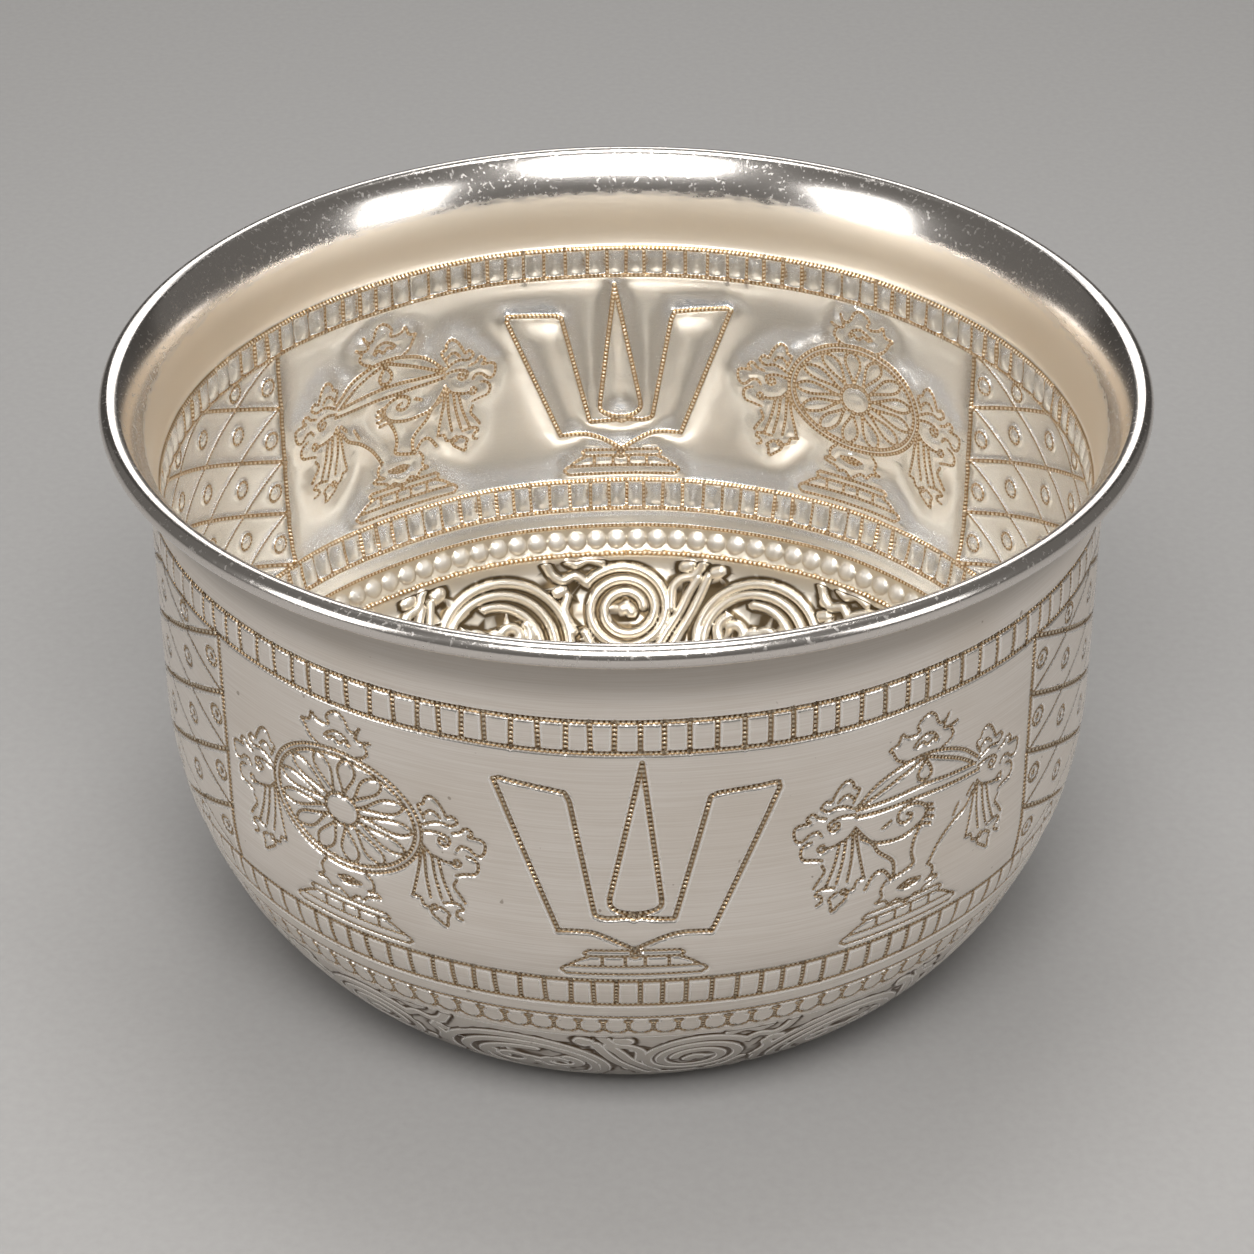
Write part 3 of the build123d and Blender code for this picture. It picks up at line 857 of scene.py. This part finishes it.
def hollow_at(angle, along):
    """The density grid read between its cells."""
    tall, wide = density.shape
    u, v = (angle / (2 * math.pi) + 0.5) * wide - 0.5, np.clip(along / cell - 0.5, 0, tall - 2)
    i, j = np.floor(u).astype(int), np.floor(v).astype(int)
    fu, fv = u - i, v - j
    top = density[j, i % wide] * (1 - fu) + density[j, (i + 1) % wide] * fu
    foot = density[j + 1, i % wide] * (1 - fu) + density[j + 1, (i + 1) % wide] * fu
    return top * (1 - fv) + foot * fv


def smooth_step(x):
    """A soft step from 0 to 1."""
    x = np.clip(x, 0, 1)
    return x * x * (3 - 2 * x)


angle, along, co = flat_places(mesh)
real_along = by_hand(angle, along)
xyz = raised(angle, real_along)[0]
chased = along < ladder_top + 3
index = np.zeros(len(along), int)
gap, run = np.full(len(along), far_off), np.zeros(len(along))
index[chased], gap[chased], run[chased] = laid.nearest(xyz[chased])
outside, width, inside = laid.outside[index], laid.width[index], laid.inside[index]
tooth_turn = run / laid.pitch[index]
teeth = np.cos(2 * math.pi * tooth_turn)
cut_width = np.maximum(width, least_width)
groove = outside / (1 + (gap / (groove_half * cut_width)) ** 4)
burr = outside * np.exp(-(((gap - burr_place * cut_width) / burr_half) ** 2))
ridge = inside * np.exp(-((gap / (ridge_half * cut_width)) ** 2))
lip_fade = smooth_step((ladder_top + 3 - along) / 2)
hollow = (1 - np.exp(-hollow_at(angle, real_along) / crowd_limit)) * lip_fade
from_panel = np.minimum(np.abs(angle), math.pi - np.abs(angle))
on_panels = smooth_step(along - ladder_low) * smooth_step(ladder_top_foot - along)
on_lattice = on_panels * smooth_step((from_panel - panel_edge) * wall_radius + 0.5)
on_emblems = on_panels - on_lattice
# Fine lines puff the metal between them more than bold ones do. Lattice and borders sink less.
puff_share = on_emblems * np.clip((1.10 - inside) / 0.30, 0.25, 1)
puff = puff_share * hollow * (1 - np.exp(-((gap / puff_reach) ** 2)))
hollow *= 1 - lattice_calm * on_lattice - border_calm * (1 - on_panels)

vine_gap = np.full(len(along), far_off)
in_vines = (along < pearl_foot + 1) & (along > vine_foot - 1)
nearest_vine, across = laid_vines.nearest(xyz[in_vines])[:2]
vine_gap[in_vines] = across / laid_vines.width[nearest_vine]
vine_fade = smooth_step((pearl_foot - along) / 1.0) * smooth_step((along - vine_foot) / 1.0)
tube = np.clip(1 - (vine_gap / vine_half) ** 2, 0, 1) ** 0.6 * vine_fade
vine_groove = np.exp(-(((vine_gap - vine_flank) / flank_half) ** 2)) * vine_fade
vine_gap += 3 * (1 - vine_fade)

boss_half = 0.72
boss_angle, boss_along = np.array(bosses).T
boss_tree = point_tree(raised(boss_angle, by_hand(boss_angle, boss_along))[0])
on_wall = (along > ladder_low) & (along < ladder_top_foot)
boss_gap = np.full(len(along), far_off)
boss_gap[on_wall] = [boss_tree.find(p)[2] for p in xyz[on_wall]]
boss = np.sqrt(np.clip(1 - (boss_gap / boss_half) ** 2, 0, 1))

pearl_turn = (angle / pearl_pitch) % 1 - 0.5
pearl_mid, pearl_half_width, pearl_half_height = (pearl_top + pearl_foot) / 2, 1.17, 1.08
pearl_x = np.abs(pearl_turn) * pearl_pitch * np.hypot(xyz[:, 0], xyz[:, 1]) / pearl_half_width
pearl_y = np.abs(along - pearl_mid) / pearl_half_height
pearl = np.clip(1 - pearl_x**2 - pearl_y**2, 0, 1) ** 0.5

rung_turn = (angle * rungs / (2 * math.pi)) % 1
pillow = np.zeros(len(along))
for top, foot in ((ladder_top, ladder_top_foot), (ladder_low, ladder_low_foot)):
    across = np.clip((along - foot) / (top - foot), 0, 1)
    pillow += np.sin(math.pi * across) * np.abs(np.cos(math.pi * rung_turn))
plain_roll = np.sin(math.pi * np.clip((along - pearl_top) / (ladder_low_foot - pearl_top), 0, 1))

spot_in, spot_out = np.zeros(len(along)), np.zeros(len(along))
panel_turn = np.where(np.abs(angle) < math.pi / 2, angle, angle % (2 * math.pi) - math.pi)
for x, y, half_x, half_y, height_in, height_out in spots:
    away = ((panel_turn * wall_radius - x) / half_x) ** 2 + ((along - ladder_low - y) / half_y) ** 2
    spot_in += height_in * np.exp(-away)
    spot_out += height_out * np.exp(-away)

# Faint dents of the hammer: a few slow waves, round the bowl and along the sheet.
hammer = np.zeros(len(along))
for k, (turns, waves, phase) in enumerate(((5, 0.21, 0.3), (9, 0.37, 1.7), (14, 0.29, 4.1), (23, 0.53, 2.2))):
    hammer += np.sin(turns * angle + phase) * np.cos(waves * along + 1.3 * phase) / (k + 1.5)

on_flat = smooth_step((along - base_radius - 1.5) / 4)
on_lip = smooth_step((along - ladder_top) / 4)
outer_relief = (
    -groove_depth * groove * (1 - tooth_share * teeth) + burr_height * burr - hollow_out * hollow
    + pillow_out * pillow + spot_out + outer_puff * puff - groove_by_vine * vine_groove - pearl_out * pearl
    - boss_out * boss + hammer_marks * hammer * (1 - on_lip)
)
# Nothing stands out below the flat base.
outer_relief = np.minimum(outer_relief, on_flat)
inner_relief = (
    ridge_height * ridge * (1 + tooth_share * teeth) + hollow_in * hollow + puff_height * puff
    + roll_in * plain_roll + vine_height * tube + pearl_in * pearl + boss_in * boss + pillow_in * pillow
    + spot_in - hammer_marks * hammer * (1 - on_lip) - lip_marks * on_lip * np.abs(hammer)
)
print(f"relief: groove to {outer_relief.min():.2f} mm outside, ridge to {inner_relief.max():.2f} mm inside")

# %% [markdown]
# ## Gold and painted shade
# The inside turns golden where it was hard to polish: between crowded lines, between the pearls, and down
# in the dish. Outside, painted shade darkens the underside, more towards the bottom, and the hollow under
# the lip. Both are kept as one number for each vertex, because a mesh this fine can carry them without a
# picture.

# %% Where the metal is golden, and where shade is painted outside
line_warmth, groove_warmth, dish_warmth = 0.30, 0.95, 0.78
lip_gloom, dish_gloom, deep_gloom = 0.50, 0.22, 0.40
fine_ridge, full_ridge = 0.68, 0.92
in_pearls = (along < pearl_top) & (along > pearl_foot)
in_dish = (along < pearl_foot - 0.3) & (along > vine_foot + 0.3)
warmth = line_warmth * hollow
warmth = np.where(in_pearls, groove_warmth - 0.35 * smooth_step(pearl / 0.6), warmth)
warmth = np.where(along < pearl_foot - 0.3, dish_warmth, warmth)
# Painted shade outside: the flare under the lip darkens, and the underside darkens more towards the bottom.
under_lip = lip_gloom * smooth_step((along - ladder_top - 1) / 4)
in_shade = dish_gloom + deep_gloom * smooth_step((pearl_foot - along) / 14)
outer_gloom = np.where(in_dish, in_shade, under_lip)
thin_ridge = np.where((on_lattice > 0.5) | (inside < 0.4), fine_ridge, full_ridge)
print(f"warmth to {warmth.max():.2f} inside, painted shade to {outer_gloom.max():.2f} outside")

# %% Keep what the raising and the finishes need on the blank
kept_values = (
    ("outer_relief", outer_relief), ("inner_relief", inner_relief), ("line_gap", gap / width),
    ("teeth", tooth_turn), ("along", along), ("groove_share", outside > 0), ("ridge_share", inside > 0),
    ("warmth", warmth), ("ridge_gap", gap / width / thin_ridge), ("outer_gloom", outer_gloom),
    ("vine_gap", vine_gap),
)
for name, values in kept_values:
    attribute = mesh.attributes.new(name, "FLOAT", "POINT")
    attribute.data.foreach_set("value", values.astype(np.float32))
print(f"kept {len(kept_values)} values on each of {len(along)} vertices")

# %% [markdown]
# ## Parting, thickening and raising
# The bowl is one sheet, but a mesh this fine is easier to handle in parts, and each part stays small
# enough to keep its detail when it is stored. It is parted along the chased borders, where no seam can be
# seen, and the vines also at the front, at the back and along one ring. The faces get a slot per part, and
# Separate by Material does the cutting. Each part is then extruded by the thickness of the sheet, and
# raised: every vertex moves to its place on the bowl.

# %% Part the blank along its borders
parts = [
    "rolled_lip", "upper_ladder", "front_panel", "right_lattice", "back_panel", "left_lattice",
    "lower_ladder", "pearl_row", "right_vines", "left_vines", "lower_vines", "floor_flower",
]
centres = read(mesh.polygons, "center", 3) / MM
face_along, face_angle = np.hypot(centres[:, 0], centres[:, 1]), np.arctan2(centres[:, 0], -centres[:, 1])
part = np.full(len(face_along), parts.index("floor_flower"))
for name, edge in (
    ("lower_vines", vine_foot), ("right_vines", dish_split), ("pearl_row", pearl_foot),
    ("lower_ladder", ladder_low_foot),
):
    part[face_along > edge * math.cos(math.pi / columns)] = parts.index(name)
part[(part == parts.index("right_vines")) & (face_angle < 0)] = parts.index("left_vines")
on_wall = face_along > ladder_low * math.cos(math.pi / columns)
part[on_wall] = parts.index("front_panel")
part[on_wall & (face_angle > panel_edge)] = parts.index("right_lattice")
part[on_wall & (face_angle < -panel_edge)] = parts.index("left_lattice")
part[on_wall & (np.abs(face_angle) > math.pi - panel_edge)] = parts.index("back_panel")
for name, edge in (("upper_ladder", ladder_top_foot), ("rolled_lip", ladder_top)):
    part[face_along > edge * math.cos(math.pi / columns)] = parts.index(name)

for name in parts:
    mesh.materials.append(bpy.data.materials.new("part_" + name))
mesh.polygons.foreach_set("material_index", part.astype(np.int32))
edit_all(blank)
bpy.ops.mesh.separate(type="MATERIAL")
bpy.ops.object.mode_set(mode="OBJECT")
pieces = {o.data.materials[0].name.removeprefix("part_"): o for o in bpy.context.selected_objects}
for name, piece in pieces.items():
    piece.name = piece.data.name = name
print("parted:", {name: len(pieces[name].data.polygons) for name in parts})


# %% [markdown]
# A mesh with this much relief unwraps badly by itself, so each part gets its own map while it is still
# flat. A part that goes all the way round is cut into equal lengths, stacked like lines of text, the
# outer face first and the inner face after it. The dish and the floor stay round, side by side.

# %% A flat map for each part
map_margin = 1.0


def flat_map(piece, angle, along, outside):
    """Lays the part's two faces side by side in a UV map, in equal scale."""
    mesh = piece.data
    corner_vertex = read(mesh.loops, "vertex_index", kind=int)
    sizes = read(mesh.polygons, "loop_total", kind=int)
    face = np.repeat(np.arange(len(sizes)), sizes)
    share_out = np.bincount(face, outside[corner_vertex]) / sizes
    x, y = along * np.sin(angle), along * np.cos(angle)
    mid_angle = np.arctan2(np.bincount(face, x[corner_vertex]), np.bincount(face, y[corner_vertex]))
    mid_along = np.bincount(face, along[corner_vertex]) / sizes
    on_wall = (share_out > 0.01) & (share_out < 0.99)
    inner_face = share_out <= 0.01
    lowest, highest = along.min(), along.max()
    top_wall, foot_wall = mid_along > highest - 0.01, mid_along < lowest + 0.01
    step_out = np.where(on_wall[face] & ~outside[corner_vertex], 0.6 * map_margin, 0.0)
    rise = step_out * (top_wall[face].astype(float) - foot_wall[face])
    if highest < pearl_foot + 0.1:
        u = (along[corner_vertex] + rise) * np.sin(angle[corner_vertex]) + highest + map_margin
        u += np.where(inner_face[face], 2 * (highest + map_margin), 0)
        v = (along[corner_vertex] + rise) * np.cos(angle[corner_vertex]) + highest + map_margin
    else:
        middle = np.arctan2(np.sin(mid_angle).mean(), np.cos(mid_angle).mean())
        turned = (mid_angle - middle + math.pi) % (2 * math.pi) - math.pi
        all_round = turned.max() - turned.min() > math.pi
        span = 2 * math.pi if all_round else turned.max() - turned.min()
        row = highest - lowest + 2 * map_margin
        lengths = max(round(math.sqrt(span * wall_radius / (2 * row))), 1)
        length = span / lengths
        start = -math.pi if all_round else turned.min()
        line = np.clip(((turned - start) / length).astype(int), 0, lengths - 1)
        aside = (angle[corner_vertex] - mid_angle[face] + math.pi) % (2 * math.pi) - math.pi
        u = (turned[face] + aside - start - line[face] * length) * wall_radius + map_margin
        u += step_out * np.sign(aside) * ~(top_wall | foot_wall)[face]
        v = (2 * line[face] + inner_face[face]) * row + along[corner_vertex] - lowest + map_margin + rise
    whole = max(u.max(), v.max()) + map_margin
    layer = mesh.uv_layers.new(name="OFBake")
    layer.data.foreach_set("uv", (np.column_stack([u, v]) / whole).ravel())


# %% Thicken and raise each part
outer_slot, inner_slot = 0, 1
triangles = {}
for name in parts:
    piece = pieces[name]
    edit_all(piece)
    bpy.ops.mesh.extrude_region_move(TRANSFORM_OT_translate={"value": (0, 0, -sheet * MM)})
    bpy.ops.mesh.select_all(action="SELECT")
    bpy.ops.mesh.normals_make_consistent(inside=False)
    bpy.ops.object.mode_set(mode="OBJECT")
    part_angle, part_along, part_co = flat_places(piece.data)
    outside = part_co[:, 2] < -sheet / 2
    flat_map(piece, part_angle, part_along, outside)
    level = read(piece.data.polygons, "center", 3)[:, 2]
    slots = np.where(level > -0.01 * sheet * MM, inner_slot, outer_slot)
    piece.data.polygons.foreach_set("material_index", slots.astype(np.int32))
    point, out = raised(part_angle, by_hand(part_angle, part_along))
    outer_lift, inner_lift = (
        read(piece.data.attributes[name].data, "value", kind=np.float32).astype(float)
        for name in ("outer_relief", "inner_relief")
    )
    lift = np.where(outside, outer_lift, -sheet - inner_lift)
    piece.data.vertices.foreach_set("co", ((point + out * lift[:, None]) * MM).ravel())
    piece.data.update()
    bpy.ops.object.shade_smooth_by_angle(angle=math.radians(62))
    for spent in ("outer_relief", "inner_relief"):
        piece.data.attributes.remove(piece.data.attributes[spent])
    triangles[name] = sum(len(p.vertices) - 2 for p in piece.data.polygons)
print("raised:", triangles, sum(triangles.values()), "triangles")

# %% [markdown]
# ## Chased silver
# The metal is one silver, finished three ways. Outside it was scrubbed round and round with pumice, which
# leaves a satin with fine level lines. Inside it is softly bright from the pickle that cleaned it, with a
# matt golden band under the lip, and the lip was burnished with a steel tool. The chased lines hold brown
# tarnish in the pits of the punch's teeth, and their edges are polished by rubbing and lightened further
# by a painted highlight. Outside, painted shade over brown tarnish darkens the grooves beside the vines,
# and painted shade darkens the underside and the flare under the lip.

# %% The marks of the punch, shared by both faces
def mottled(tree, size, detail=2.0):
    """A soft cloudy noise with patches of about that size in mm."""
    place = node(tree, "TexCoord").outputs["Object"]
    return node(tree, "TexNoise", {"Vector": place, "Scale": 1 / (size * MM), "Detail": detail}).outputs[0]


def tooth_marks(tree):
    """1 on the metal left between two tooth marks, 0 in the pit of each, and a half where they blur."""
    turn = node(tree, "Attribute", attribute_name="teeth").outputs["Fac"]
    turn = node(tree, "Math", {0: turn, 1: 2 * math.pi}, operation="MULTIPLY")
    wave = node(tree, "Math", {0: turn}, operation="COSINE")
    clear = node(tree, "MapRange", {
        "Value": mottled(tree, 3.0), "From Min": 0.40, "From Max": 0.60, "To Min": 0.30, "To Max": 0.72
    })
    return node(tree, "Math", {0: wave, 1: clear, 2: 0.5}, operation="MULTIPLY_ADD", use_clamp=True)


soft = {"interpolation_type": "SMOOTHSTEP"}


def between(tree, value, rise, fall):
    """1 where a value has passed the pair of rise and not come to the pair of fall, soft across each pair."""
    risen = node(tree, "MapRange", {"Value": value, "From Min": rise[0], "From Max": rise[1]}, **soft)
    left = node(tree, "MapRange", {"Value": value, "From Min": fall[1], "From Max": fall[0]}, **soft)
    return node(tree, "Math", {0: risen, 1: left}, operation="MULTIPLY")


def scrubbed(tree, streak_length, streak_width):
    """Fine level lines, as long and as wide as given in mm, that run round the bowl."""
    place = node(tree, "SeparateXYZ", {0: node(tree, "TexCoord").outputs["Object"]}).outputs
    along_streak = 1 / (streak_length * MM)
    aside = [node(tree, "Math", {0: place[i], 1: along_streak}, operation="MULTIPLY") for i in (0, 1)]
    level = node(tree, "Attribute", attribute_name="along").outputs["Fac"]
    level = node(tree, "Math", {0: level, 1: 1 / streak_width}, operation="MULTIPLY")
    streaks = node(tree, "CombineXYZ", {0: aside[0], 1: aside[1], 2: level})
    return node(tree, "TexNoise", {"Vector": streaks, "Scale": 1.0, "Detail": 3.0}).outputs[0]


# %% Satin outside
# Satin silver, scrubbed with pumice: a soft sheen with faint level lines, brown pits along each line.
satin, tree = new_material("satin silver, chased")
gap, share, vine_gap, gloom = (
    node(tree, "Attribute", attribute_name=name).outputs["Fac"]
    for name in ("line_gap", "groove_share", "vine_gap", "outer_gloom")
)
marks = tooth_marks(tree)
groove = node(tree, "MapRange", {"Value": gap, "From Min": 0.35, "From Max": 0.21}, **soft)
in_groove = node(tree, "Math", {0: groove, 1: share}, operation="MULTIPLY")
in_core = node(tree, "MapRange", {"Value": gap, "From Min": 0.22, "From Max": 0.08}, **soft)
# Painted light along the lines: the burr and the vine edges are lightened as a painted highlight, beyond
# their polish from rubbing, and the groove beside each vine is darkened by brown tarnish and painted shade.
on_burr = between(tree, gap, (0.33, 0.42), (0.46, 0.62))
on_vine_edge = between(tree, vine_gap, (0.36, 0.46), (0.50, 0.60))
beside_vine = between(tree, vine_gap, (0.54, 0.72), (0.82, 1.15))
rubbed = node(tree, "Math", {0: on_burr, 1: on_vine_edge}, operation="MAXIMUM")

lines = scrubbed(tree, 9.0, 0.13)
line_share = node(tree, "MapRange", {"Value": lines, "From Min": 0.35, "From Max": 0.65})
metal = node(tree, "MixRGB", {0: line_share, 1: linear("EDE4DA"), 2: linear("F7F0E8")})
cloud = node(tree, "MapRange", {
    "Value": mottled(tree, 14), "From Min": 0.45, "From Max": 0.75, "To Max": 0.30
})
# Tints over the scrubbed metal, in turn: random clouds of tone, painted shade on the underside and under the
# lip, tarnish with painted shade beside the vines, and a painted highlight on the polished edges.
for where, tint in ((cloud, "E0D3C3"), (gloom, "5E564D"), (beside_vine, "5A452C"), (rubbed, "FFFBF5")):
    metal = node(tree, "MixRGB", {0: where, 1: metal, 2: linear(tint)})
pits = node(tree, "MixRGB", {0: marks, 1: linear("65492A"), 2: linear("EBDFC9")})
tarnish = node(tree, "MixRGB", {0: in_core, 1: linear("A88961"), 2: pits})
nick = node(tree, "MapRange", {
    "Value": mottled(tree, 0.8, 0.0), "From Min": 0.85, "From Max": 0.89, "To Max": 0.5
})
colour = node(tree, "MixRGB", {0: in_groove, 1: metal, 2: tarnish})
colour = node(tree, "MixRGB", {0: nick, 1: colour, 2: linear("7A5F40")})

rough = node(tree, "MapRange", {
    "Value": lines, "From Min": 0.3, "From Max": 0.7, "To Min": 0.34, "To Max": 0.42
})
rough = node(tree, "MapRange", {"Value": rubbed, "To Min": rough, "To Max": 0.22})
tooth_rise = node(tree, "Math", {0: marks, 1: in_groove}, operation="MULTIPLY")
relief = node(tree, "Math", {0: lines, 1: 0.06, 2: tooth_rise}, operation="MULTIPLY_ADD")
bump = node(tree, "Bump", {"Strength": 1.0, "Distance": 0.06 * MM, "Height": relief})
shader = node(tree, "BsdfPrincipled", {
    "Base Color": colour, "Metallic": 1.0, "Roughness": rough, "Normal": bump
})
node(tree, "OutputMaterial", {"Surface": shader})
print(f"{satin.name}: {len(tree.nodes)} nodes")

# %% Bright inside, burnished lip
# Pickled silver: pale and softly bright over the puffed-up ground, tan and softer in the dish, with golden
# beads on the ridges and a matt golden band under the lip. The burnished lip is the brightest, with a
# ragged edge where the tool stopped.
bright, tree = new_material("pickled silver, burnished lip")
gap, share, along_sheet, warmth, vine_gap = (
    node(tree, "Attribute", attribute_name=name).outputs["Fac"]
    for name in ("ridge_gap", "ridge_share", "along", "warmth", "vine_gap")
)
marks = tooth_marks(tree)
ridge = node(tree, "MapRange", {"Value": gap, "From Min": 0.42, "From Max": 0.26}, **soft)
on_ridge = node(tree, "Math", {0: ridge, 1: share}, operation="MULTIPLY")
in_core = node(tree, "MapRange", {"Value": gap, "From Min": 0.28, "From Max": 0.10}, **soft)
burnish_start, burnish_full = 102.7, 104.0
ragged = node(tree, "Math", {0: scrubbed(tree, 2.2, 0.5), 1: 1.8, 2: along_sheet}, operation="MULTIPLY_ADD")
burnished = node(tree, "MapRange", {
    "Value": ragged, "From Min": burnish_start, "From Max": burnish_full
}, **soft)
band = node(tree, "MapRange", {
    "Value": along_sheet, "From Min": ladder_top - 0.2, "From Max": ladder_top + 0.6
}, **soft)

lines = scrubbed(tree, 12.0, 0.2)
line_share = node(tree, "MapRange", {"Value": lines, "From Min": 0.35, "From Max": 0.65})
metal = node(tree, "MixRGB", {0: line_share, 1: linear("F2F4F6"), 2: linear("F8FAFC")})
# Painted light in the dish: painted shade darkens the narrow gaps between the vine tubes over their tarnish,
# and a painted highlight lightens the tubes' edges.
beside_vine = between(tree, vine_gap, (0.50, 0.68), (0.90, 1.25))
on_vine_edge = between(tree, vine_gap, (0.28, 0.40), (0.44, 0.56))
for where, tint in (
    (warmth, "D3C8B5"), (band, "F8ECDA"), (beside_vine, "5C4E3A"), (on_vine_edge, "EBE2D2"),
):
    metal = node(tree, "MixRGB", {0: where, 1: metal, 2: linear(tint)})
beads = node(tree, "MixRGB", {0: marks, 1: linear("A07C4E"), 2: linear("FFF3DF")})
gold = node(tree, "MixRGB", {0: in_core, 1: linear("B8945F"), 2: beads})
colour = node(tree, "MixRGB", {0: on_ridge, 1: metal, 2: gold})
colour = node(tree, "MixRGB", {0: burnished, 1: colour, 2: linear("E4DED8")})

dish_rough = node(tree, "MapRange", {
    "Value": along_sheet, "From Min": pearl_top + 0.4, "From Max": pearl_top - 0.4,
    "To Min": 0.26, "To Max": 0.40
}, **soft)
rough = node(tree, "MapRange", {"Value": band, "To Min": dish_rough, "To Max": 0.46})
rough = node(tree, "MapRange", {"Value": on_ridge, "To Min": rough, "To Max": 0.36})
speckle = node(tree, "MapRange", {
    "Value": mottled(tree, 0.5), "From Min": 0.58, "From Max": 0.70, "To Min": 0.18, "To Max": 0.34
})
rough = node(tree, "MapRange", {"Value": burnished, "To Min": rough, "To Max": speckle})
tooth_rise = node(tree, "Math", {0: marks, 1: on_ridge}, operation="MULTIPLY")
scrub = node(tree, "MapRange", {"Value": burnished, "To Min": 0.07, "To Max": 0.015})
relief = node(tree, "Math", {0: lines, 1: scrub, 2: tooth_rise}, operation="MULTIPLY_ADD")
bump = node(tree, "Bump", {"Strength": 1.0, "Distance": 0.05 * MM, "Height": relief})
shader = node(tree, "BsdfPrincipled", {
    "Base Color": colour, "Metallic": 1.0, "Roughness": rough, "Normal": bump
})
node(tree, "OutputMaterial", {"Surface": shader})
print(f"{bright.name}: {len(tree.nodes)} nodes")

# %% Drawn wire
# Drawn silver wire: bright, with faint duller patches. The lip hides it, but for a narrow gap underneath.
drawn, tree = new_material("drawn silver wire")
dull_patches = mottled(tree, 0.5)
metal = node(tree, "MixRGB", {0: dull_patches, 1: linear("CFC2B2"), 2: linear("E9DFD2")})
rough = node(tree, "MapRange", {
    "Value": dull_patches, "From Min": 0.3, "From Max": 0.7, "To Min": 0.25, "To Max": 0.4
})
shader = node(tree, "BsdfPrincipled", {"Base Color": metal, "Metallic": 1.0, "Roughness": rough})
node(tree, "OutputMaterial", {"Surface": shader})
print(f"{drawn.name}: {len(tree.nodes)} nodes")

# %% [markdown]
# ## Dressing
# Each part of the sheet gets the satin outside and the bright silver inside, and together they stand in
# for the plain shell of the CAD model, on its one body. The wire keeps its CAD mesh, because the lip is
# rolled over it and hides it.

# %% Dress the parts
for name in parts:
    piece = pieces[name]
    piece.data.materials[outer_slot] = satin
    piece.data.materials.append(bright)
    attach(piece, "root")
    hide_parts("bowl_shell")
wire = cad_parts["rim_wire"]
wire.data.materials.clear()
wire.data.materials.append(drawn)
for material in [m for m in bpy.data.materials if m.name.startswith("part_")]:
    bpy.data.materials.remove(material)
print(f"dressed {len(parts)} parts and the wire")
